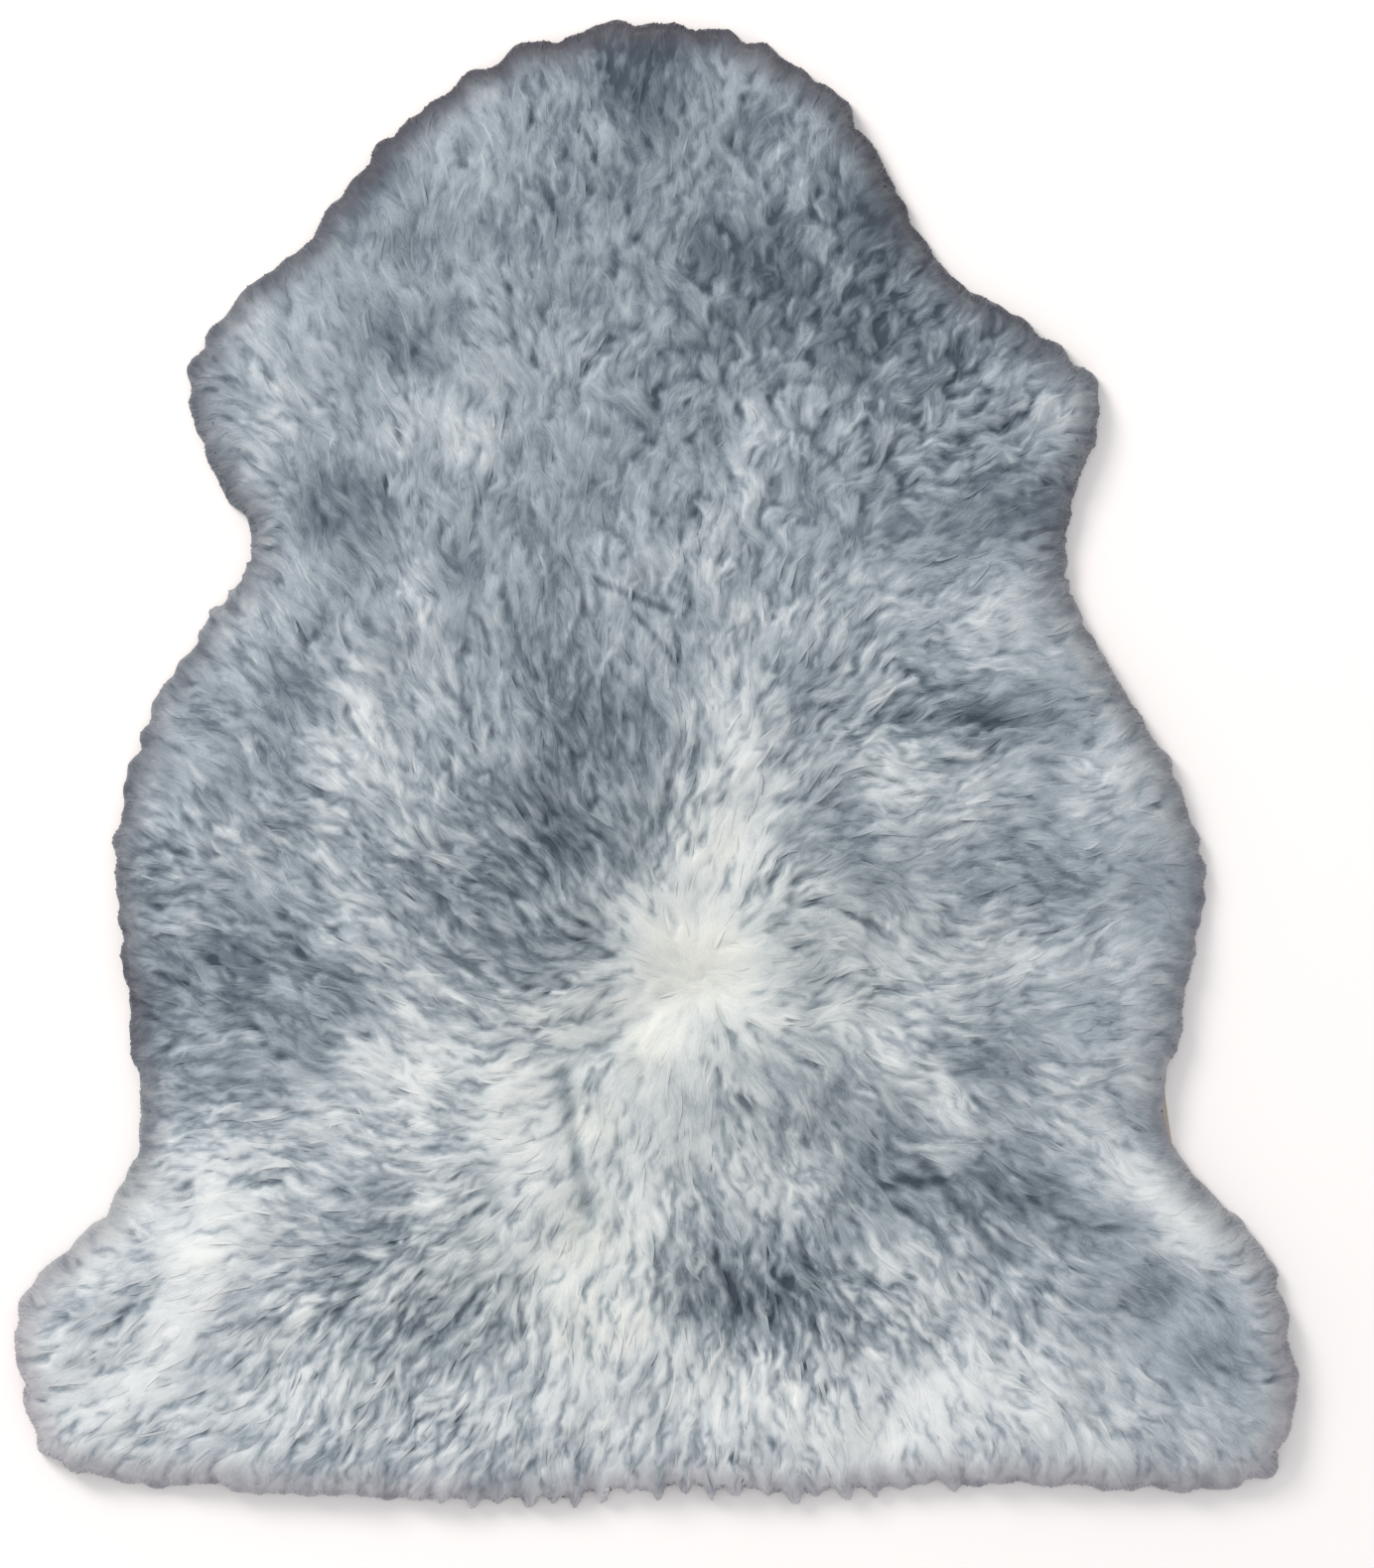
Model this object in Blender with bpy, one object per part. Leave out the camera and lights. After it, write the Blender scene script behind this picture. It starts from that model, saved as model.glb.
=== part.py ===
"""A sheepskin rug that lies flat: one tanned hide and the fleece that grows on it.

Units are metres and +Z is up. The origin is on the floor, under the middle of the rug. +Y points to the
neck and +X to the right as one looks down on the wool.
"""

import math
import random

import bmesh
import bpy
import numpy as np
from mathutils.geometry import delaunay_2d_cdt

MM = 0.001

# The wool's silhouette, clockwise from the neck. overhang is how far the wool reaches past the hide's cut edge,
# and it is below zero where the cut edge shows past the wool.
OUTLINE_COLUMNS = ("place", "x_mm", "y_mm", "overhang_mm")
OUTLINE = (
    ("neck_middle", -13, 499, 26),
    ("neck_right", 44, 494, 26),
    ("neck_right_corner", 86, 473, 26),
    ("nape_right_top", 131, 440, 26),
    ("nape_right", 157, 397, 24),
    ("nape_right_hollow", 195, 329, 18),
    ("foreleg_right_top", 238, 305, 24),
    ("foreleg_right_corner", 284, 272, 20),
    ("foreleg_right_end", 297, 238, 20),
    ("foreleg_right_back", 281, 186, 16),
    ("armpit_right", 271, 134, -1.2),
    ("flank_right_top", 284, 97, 8),
    ("flank_right_upper", 324, 38, 26),
    ("belly_right_upper", 352, -14, 26),
    ("belly_right", 367, -78, 26),
    ("belly_right_lower", 357, -143, 20),
    ("waist_right_upper", 345, -205, 4),
    ("waist_right", 345, -246, -1.5),
    ("hind_leg_right_root", 365, -281, 12),
    ("hind_leg_right_top", 408, -322, 26),
    ("hind_leg_right_outer", 427, -380, 26),
    ("hind_leg_right_end", 427, -440, 24),
    ("hind_leg_right_corner", 409, -474, 24),
    ("tail_edge_right", 335, -485, 26),
    ("tail_edge_right_middle", 205, -481, 26),
    ("tail_edge_middle_right", 99, -488, 26),
    ("tail_edge_middle", -10, -485, 26),
    ("tail_edge_lowest", -108, -493, 28),
    ("tail_edge_left_middle", -200, -489, 26),
    ("tail_edge_left", -341, -479, 26),
    ("hind_leg_left_corner", -402, -470, 24),
    ("hind_leg_left_end", -428, -420, 24),
    ("hind_leg_left_outer", -422, -357, 24),
    ("hind_leg_left_top", -372, -304, 26),
    ("waist_left", -346, -258, 22),
    ("waist_left_upper", -347, -205, 24),
    ("belly_left_lower", -361, -110, 26),
    ("belly_left", -362, -50, 26),
    ("belly_left_upper", -344, 27, 26),
    ("flank_left", -316, 73, 26),
    ("flank_left_top", -277, 127, 22),
    ("armpit_left", -274, 162, 18),
    ("foreleg_left_back", -302, 205, 22),
    ("foreleg_left_end", -311, 250, 24),
    ("foreleg_left_corner", -299, 293, 24),
    ("nape_left_lower", -241, 346, 24),
    ("nape_left_hollow", -205, 391, 24),
    ("nape_left_top", -165, 434, 26),
    ("neck_left", -91, 481, 26),
)

# Partings, where the wool falls to both sides of a line and lies lower.
PARTING_COLUMNS = ("place", "x1_mm", "y1_mm", "x2_mm", "y2_mm", "depth_mm", "half_width_mm")
PARTINGS = (
    ("whorl", 29, -144, 33, -150, 10, 42),
    ("rump_parting", 5, -158, -63, -208, 5, 24),
    ("tail_parting", -63, -208, -42, -300, 6, 22),
    ("shoulder_crease", -48, 123, 19, 101, 4, 16),
    ("hind_leg_crease", 182, -267, 232, -329, 5, 18),
)

HIDE_THICKNESS = 2 * MM
GAP = 0.3 * MM
PILE_HEIGHT = 40 * MM
SHOULDER_WIDTH = 65 * MM
SHOULDER_ROUNDNESS = 2.4
WALL_SETBACK = 2 * MM
SHORTEST_LOCK = 10 * MM
FLEECE_BASE = HIDE_THICKNESS + GAP

# Lumps of the pile: each band is a sum of plane waves, a golden angle apart in direction. first_turn is the
# first wave's direction as a share of that angle.
LUMP_COLUMNS = ("band", "wavelength_mm", "height_mm", "first_turn")
LUMPS = (
    ("broad", 125, 2.6, 0.0),
    ("small", 56, 2.2, 0.37),
)
WAVES_PER_BAND = 9
GOLDEN_ANGLE = math.radians(137.508)
SHORTEST_WAVE, LONGEST_WAVE = 0.8, 1.2
PHASE_STEP = 1.7

LOCK_COUNT = 180
ROOT_SHARE = 0.86
LOCK_SEED = 7
# The tips lie about the silhouette: share of the way out from the wall, and share of the pitch to either side.
TIP_REACH = (0.88, 1.08)
TIP_SWAY = 0.22
TIP_THICKNESS = 2 * MM
# A rim lock from its root at the fleece's wall to its tip: share of the way out, height of its underside,
# share of the root's height, and width as a share of the pitch there.
LOCK_COLUMNS = ("share_of_reach", "underside_mm", "share_of_height", "share_of_pitch")
LOCK_SECTIONS = (
    (0.36, 6.0, 0.93, 0.86),
    (0.74, 0.6, 0.68, 0.78),
    (1.00, 0.0, 0.13, 0.34),
)
# A lock this near to the hide, measured level, stays above it.
HIDE_REACH = 4 * MM

OUTLINE_STEPS = 900
SMOOTHING_LENGTH = 14 * MM
HIDE_POINTS = 260
PILE_SPACING = 20 * MM
# Rings of points that follow the wall on the shoulder.
SHOULDER_COLUMNS = ("inside_the_wall_mm", "spacing_mm")
SHOULDER_RINGS = ((11, 13), (27, 18))
MERGE_DISTANCE = 0.001 * MM
UPRIGHT = 0.001
SHARP_ANGLE = math.radians(50)

COLOURS = {
    "hide": ((0.62, 0.52, 0.40, 1.0), 0.85),
    "fleece": ((0.46, 0.50, 0.53, 1.0), 0.95),
}


def clear_scene():
    for obj in list(bpy.data.objects):
        bpy.data.objects.remove(obj, do_unlink=True)


def make_collection(name):
    collection = bpy.data.collections.new(name)
    bpy.context.scene.collection.children.link(collection)
    return collection


def make_material(name):
    colour, roughness = COLOURS[name]
    material = bpy.data.materials.new(name)
    material.use_nodes = True
    shader = material.node_tree.nodes["Principled BSDF"]
    shader.inputs["Base Color"].default_value = colour
    shader.inputs["Roughness"].default_value = roughness
    shader.inputs["Metallic"].default_value = 0.0
    return material


def closed_curve(points, steps):
    """Points on a closed Catmull-Rom curve through the given points, the same number on each stretch."""
    before = np.roll(points, 1, axis=0)
    after = np.roll(points, -1, axis=0)
    beyond = np.roll(points, -2, axis=0)
    t = np.linspace(0, 1, steps // len(points) + 1, endpoint=False)[None, :, None]
    p0, p1, p2, p3 = (p[:, None, :] for p in (before, points, after, beyond))
    curve = 0.5 * (
        2 * p1
        + (p2 - p0) * t
        + (2 * p0 - 5 * p1 + 4 * p2 - p3) * t**2
        + (3 * p1 - p0 - 3 * p2 + p3) * t**3
    )
    return curve.reshape(-1, points.shape[1])


def lengths_along(ring):
    """Length along a closed ring up to each point, and the whole length."""
    sides = np.linalg.norm(np.roll(ring, -1, axis=0) - ring, axis=1)
    return np.concatenate([[0], np.cumsum(sides)[:-1]]), sides.sum()


def points_at(ring, marks, places):
    """The ring's columns read at places, where marks gives each point's own place on a cycle of 1."""
    marks = np.append(marks, 1.0)
    closed = np.vstack([ring, ring[:1]])
    return np.stack([np.interp(places % 1.0, marks, column) for column in closed.T], axis=1)


def evenly(ring, count):
    along, whole = lengths_along(ring)
    return points_at(ring, along / whole, np.arange(count) / count)


def smooth(ring, length):
    """The ring with each point moved to a bell-shaped average of the ring around it."""
    along, whole = lengths_along(ring)
    apart = np.abs(along[:, None] - along[None, :])
    apart = np.minimum(apart, whole - apart)
    weights = np.exp(-0.5 * (apart / length) ** 2)
    return weights @ ring / weights.sum(axis=1, keepdims=True)


def outward(ring):
    """Unit normals of a clockwise ring, pointing out of it."""
    tangent = np.roll(ring, -1, axis=0) - np.roll(ring, 1, axis=0)
    tangent /= np.linalg.norm(tangent, axis=1, keepdims=True)
    return np.stack([-tangent[:, 1], tangent[:, 0]], axis=1)


def distance_inside(points, ring):
    """How far each point lies from the ring, positive inside it and negative outside."""
    start, end = ring, np.roll(ring, -1, axis=0)
    side = end - start
    offset = points[:, None, :] - start[None, :, :]
    share = np.clip((offset * side).sum(axis=2) / (side * side).sum(axis=1), 0, 1)
    distance = np.linalg.norm(offset - share[:, :, None] * side, axis=2).min(axis=1)
    above = (start[:, 1] > points[:, None, 1]) != (end[:, 1] > points[:, None, 1])
    rise = np.where(side[:, 1] == 0, 1.0, side[:, 1])
    crossing = start[:, 0] + side[:, 0] * (points[:, None, 1] - start[:, 1]) / rise
    inside = (above & (crossing > points[:, None, 0])).sum(axis=1) % 2 == 1
    return np.where(inside, distance, -distance)


def lumps(points):
    """The pile's unevenness: for each band, plane waves of nearly one length in many directions, added."""
    height = np.zeros(len(points))
    lengths = np.linspace(SHORTEST_WAVE, LONGEST_WAVE, WAVES_PER_BAND)
    for _, wavelength, size, first_turn in LUMPS:
        for wave, share in enumerate(lengths):
            angle = (wave + first_turn) * GOLDEN_ANGLE
            along = points @ np.array([math.cos(angle), math.sin(angle)])
            phase = 2 * math.pi * along / (wavelength * MM * share) + wave * wave * PHASE_STEP
            height += size * MM * math.sqrt(2 / WAVES_PER_BAND) * np.cos(phase)
    return height


def partings(points):
    """How much lower the pile lies at the partings: a bell-shaped valley along each of them."""
    drop = np.zeros(len(points))
    for _, x1, y1, x2, y2, depth, half_width in PARTINGS:
        start, end = np.array([x1, y1]) * MM, np.array([x2, y2]) * MM
        side = end - start
        share = np.clip((points - start) @ side / (side @ side), 0, 1)
        away = np.linalg.norm(points - start - share[:, None] * side, axis=1)
        drop += depth * MM * np.exp(-((away / (half_width * MM)) ** 2))
    return drop


def pile_top(points, silhouette):
    """The height of the wool: the crown with its lumps and partings, rounded down to the floor at the rim."""
    crown = PILE_HEIGHT + lumps(points) - partings(points)
    depth = np.clip(distance_inside(points, silhouette) / SHOULDER_WIDTH, 0, 1)
    shoulder = (1 - (1 - depth) ** SHOULDER_ROUNDNESS) ** (1 / SHOULDER_ROUNDNESS)
    return crown * shoulder


def make_rings():
    """The silhouette, the hide's cut edge and the fleece's wall, point for point beside each other."""
    rows = np.array([row[1:] for row in OUTLINE], float) * MM
    curve = closed_curve(rows, OUTLINE_STEPS)
    silhouette, overhang = curve[:, :2], curve[:, 2:]
    inset = np.maximum(overhang + WALL_SETBACK, SHORTEST_LOCK)
    hide_edge = smooth(silhouette - outward(silhouette) * overhang, SMOOTHING_LENGTH)
    wall = smooth(silhouette - outward(silhouette) * inset, SMOOTHING_LENGTH)
    return silhouette, hide_edge, wall


def make_hide(collection, hide_edge):
    """The tanned skin: a flat sheet with the pelt's outline."""
    curve = bpy.data.curves.new("hide", "CURVE")
    curve.dimensions = "2D"
    curve.fill_mode = "BOTH"
    curve.extrude = HIDE_THICKNESS / 2
    spline = curve.splines.new("POLY")
    corners = evenly(hide_edge, HIDE_POINTS)
    spline.points.add(len(corners) - 1)
    for point, (x, y) in zip(spline.points, corners):
        point.co = (x, y, 0, 1)
    spline.use_cyclic_u = True
    hide = bpy.data.objects.new("hide", curve)
    hide.location.z = HIDE_THICKNESS / 2
    curve.materials.append(make_material("hide"))
    collection.objects.link(hide)
    return hide


def lock_places(silhouette, wall):
    """Where each rim lock's two sides lie on the cycle of the rings, even along the middle between them."""
    along, whole = lengths_along((silhouette + wall) / 2)
    starts = np.arange(LOCK_COUNT) / LOCK_COUNT
    ends = starts + ROOT_SHARE / LOCK_COUNT
    sides = np.stack([starts, ends], axis=1).ravel()
    return along / whole, sides


def pile_points(wall):
    """Points on the pile inside the wall: rings along the shoulder, and a hexagonal grid inside them."""
    rings = []
    for inset, spacing in SHOULDER_RINGS:
        ring = smooth(wall - outward(wall) * inset * MM, inset * MM)
        rings.append(evenly(ring, round(lengths_along(ring)[1] / (spacing * MM))))
    rows = PILE_SPACING * math.sqrt(3) / 2
    low, high = wall.min(axis=0), wall.max(axis=0)
    grid = []
    for row in range(math.ceil((high[1] - low[1]) / rows)):
        start = low[0] + PILE_SPACING / 2 * (row % 2)
        for x in np.arange(start, high[0], PILE_SPACING):
            grid.append((x, low[1] + row * rows))
    grid = np.array(grid)
    keep = distance_inside(grid, rings[-1]) > PILE_SPACING / 2
    return np.vstack(rings + [grid[keep]])


def make_slab(silhouette, wall, marks, sides):
    """The lumpy slab of wool: the flat base cut to the wall, raised to the pile's top. Returns it as a bmesh."""
    rim = points_at(wall, marks, sides)
    points = np.vstack([rim, pile_points(wall)])
    edges = [(i, (i + 1) % len(rim)) for i in range(len(rim))]
    flat, _, faces, *_ = delaunay_2d_cdt([tuple(p) for p in points], edges, [], 1, MERGE_DISTANCE)
    bm = bmesh.new()
    verts = [bm.verts.new((x, y, FLEECE_BASE)) for x, y in flat]
    base = [bm.faces.new([verts[i] for i in face]) for face in faces]
    bmesh.ops.recalc_face_normals(bm, faces=base)
    raised = bmesh.ops.extrude_face_region(bm, geom=base, use_keep_orig=True)
    top = [item for item in raised["geom"] if isinstance(item, bmesh.types.BMVert)]
    tops = pile_top(np.array([v.co.xy for v in top]), silhouette)
    for vert, height in zip(top, tops):
        vert.co.z = height
    bmesh.ops.dissolve_faces(bm, faces=[f for f in base if f.is_valid])
    bmesh.ops.recalc_face_normals(bm, faces=bm.faces)
    return bm


def wall_faces(bm, rim):
    """The slab's upright faces that stand on the stretches of the rim where locks grow, in order."""
    upright = {}
    for face in bm.faces:
        if len(face.verts) == 4 and abs(face.normal.z) < UPRIGHT:
            middle = face.calc_center_median().xy
            upright[face] = (middle.x, middle.y)
    centres = (rim[0::2] + rim[1::2]) / 2
    faces, places = list(upright), np.array(list(upright.values()))
    nearest = [int(np.linalg.norm(places - c, axis=1).argmin()) for c in centres]
    return [faces[i] for i in nearest]


def lock_tips(roots, silhouette, marks, middles):
    """Where the locks' tips lie: about the silhouette, a little uneven in reach and sideways."""
    chance = random.Random(LOCK_SEED)
    sway = np.array([chance.uniform(-TIP_SWAY, TIP_SWAY) for _ in middles])
    reach = np.array([chance.uniform(*TIP_REACH) for _ in middles])
    ends = points_at(silhouette, marks, middles + sway / LOCK_COUNT)
    return roots + (ends - roots) * reach[:, None]


def grow_locks(bm, faces, roots, tips, hide_edge):
    """Draws every rim lock out of its wall face, section by section, narrower than the space to its neighbours."""
    reach = tips - roots
    across = np.stack([-reach[:, 1], reach[:, 0]], axis=1) / np.linalg.norm(reach, axis=1, keepdims=True)
    corners = [np.array([v.co for v in face.verts]) for face in faces]
    is_upper = [c[:, 2] > c[:, 2].mean() for c in corners]
    is_ahead = [(c[:, :2] - root) @ side > 0 for c, root, side in zip(corners, roots, across)]
    root_tops = [c[:, 2].max() for c in corners]
    for share, underside, height, width in LOCK_SECTIONS:
        centres = roots + reach * share
        apart = np.linalg.norm(centres - np.roll(centres, 1, axis=0), axis=1)
        halves = across * np.minimum(apart, np.roll(apart, -1))[:, None] * width / 2
        near = [distance_inside(centres + side, hide_edge) > -HIDE_REACH for side in (-halves, halves)]
        bottoms = np.where(near[0] | near[1], max(FLEECE_BASE, underside * MM), underside * MM)
        for i in range(len(faces)):
            faces[i] = bmesh.ops.extrude_discrete_faces(bm, faces=[faces[i]])["faces"][0]
            for vert, upper, ahead in zip(faces[i].verts, is_upper[i], is_ahead[i]):
                x, y = centres[i] + (halves[i] if ahead else -halves[i])
                top = max(root_tops[i] * height, bottoms[i] + TIP_THICKNESS)
                vert.co = (x, y, top if upper else bottoms[i])


def make_fleece(collection, silhouette, hide_edge, wall):
    """The wool: a lumpy slab with locks that fall from its rim to the floor, past the hide's edge."""
    marks, sides = lock_places(silhouette, wall)
    rim = points_at(wall, marks, sides)
    bm = make_slab(silhouette, wall, marks, sides)
    faces = wall_faces(bm, rim)
    roots = (rim[0::2] + rim[1::2]) / 2
    tips = lock_tips(roots, silhouette, marks, (sides[0::2] + sides[1::2]) / 2)
    grow_locks(bm, faces, roots, tips, hide_edge)
    bmesh.ops.recalc_face_normals(bm, faces=bm.faces)
    mesh = bpy.data.meshes.new("fleece")
    bm.to_mesh(mesh)
    bm.free()
    mesh.shade_smooth()
    mesh.set_sharp_from_angle(angle=SHARP_ANGLE)
    mesh.materials.append(make_material("fleece"))
    fleece = bpy.data.objects.new("fleece", mesh)
    collection.objects.link(fleece)
    return fleece


def centre_over_origin(objects, widest):
    """Moves the objects level, so that the widest one's box is centred over the origin."""
    corners = np.array([v.co for v in widest.data.vertices])
    centre = (corners.max(axis=0) + corners.min(axis=0)) / 2
    for obj in objects:
        obj.location.x, obj.location.y = -centre[:2]


def main():
    clear_scene()
    collection = make_collection("sheepskin_rug")
    silhouette, hide_edge, wall = make_rings()
    hide = make_hide(collection, hide_edge)
    fleece = make_fleece(collection, silhouette, hide_edge, wall)
    centre_over_origin((hide, fleece), widest=fleece)


main()
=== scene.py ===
"""The looks of a sheepskin rug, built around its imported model: combed wool, and the suede hide below it.

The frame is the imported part's: metres, +Z up, the origin on the floor under the middle of the rug, and
+Y towards the neck. Sizes in the tables are millimetres, as their columns say. A field whose name ends in
_from holds where a ramp starts and where it ends, along y, in tone or in distance inside the edge.
"""

import logging
import math
from dataclasses import dataclass, field
from enum import Enum
from functools import partial
from itertools import chain

import bmesh
import bpy
import numpy as np
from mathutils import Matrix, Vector
from mathutils.bvhtree import BVHTree


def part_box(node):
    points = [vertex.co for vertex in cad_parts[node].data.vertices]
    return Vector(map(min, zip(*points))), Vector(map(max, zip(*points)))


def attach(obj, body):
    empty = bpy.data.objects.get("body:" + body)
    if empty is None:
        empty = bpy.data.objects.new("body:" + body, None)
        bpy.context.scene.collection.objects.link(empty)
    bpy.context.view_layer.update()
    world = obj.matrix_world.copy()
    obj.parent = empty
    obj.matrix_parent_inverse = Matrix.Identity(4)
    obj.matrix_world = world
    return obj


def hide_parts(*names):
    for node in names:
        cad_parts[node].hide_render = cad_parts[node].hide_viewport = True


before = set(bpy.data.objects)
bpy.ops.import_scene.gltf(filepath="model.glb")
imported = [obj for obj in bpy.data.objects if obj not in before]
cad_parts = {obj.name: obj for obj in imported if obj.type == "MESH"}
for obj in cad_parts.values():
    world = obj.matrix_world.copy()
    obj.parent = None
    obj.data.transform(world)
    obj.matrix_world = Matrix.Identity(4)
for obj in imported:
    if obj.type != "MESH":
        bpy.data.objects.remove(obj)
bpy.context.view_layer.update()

log = logging.getLogger("sheepskin")
Array = np.ndarray
Pair = tuple[float, float]
MM = 0.001
BODY = "root"


class Slot(Enum):
    """The record's material slots."""

    HIDE = "hide"
    WOOL = "wool"


class Zone(Enum):
    """The pieces of the wool's combed top, from neck to tail, with an equal share of its cells."""

    NECK = "wool_neck"
    SHOULDERS = "wool_shoulders"
    BACK = "wool_back"
    RUMP = "wool_rump"


# Where the wool parts and grows outwards in every direction.
WHORL = np.array([29.0, -146.0]) * MM

# The way the neck's edge faces.
NECK_WAY = (-0.35, 0.94)

# Which way the back runs from the whorl, anticlockwise from +X.
BACK_TURN = math.radians(84)

# A middle from which the whole outline is seen, for what is laid out in turns about it.
CENTRE = np.array([0.0, -87.0]) * MM

# The curlier wool on the right shoulder and the nape, as a soft ellipse: x_mm, y_mm, half_x_mm, half_y_mm.
CURLY = (86, 262, 210, 170)

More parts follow.
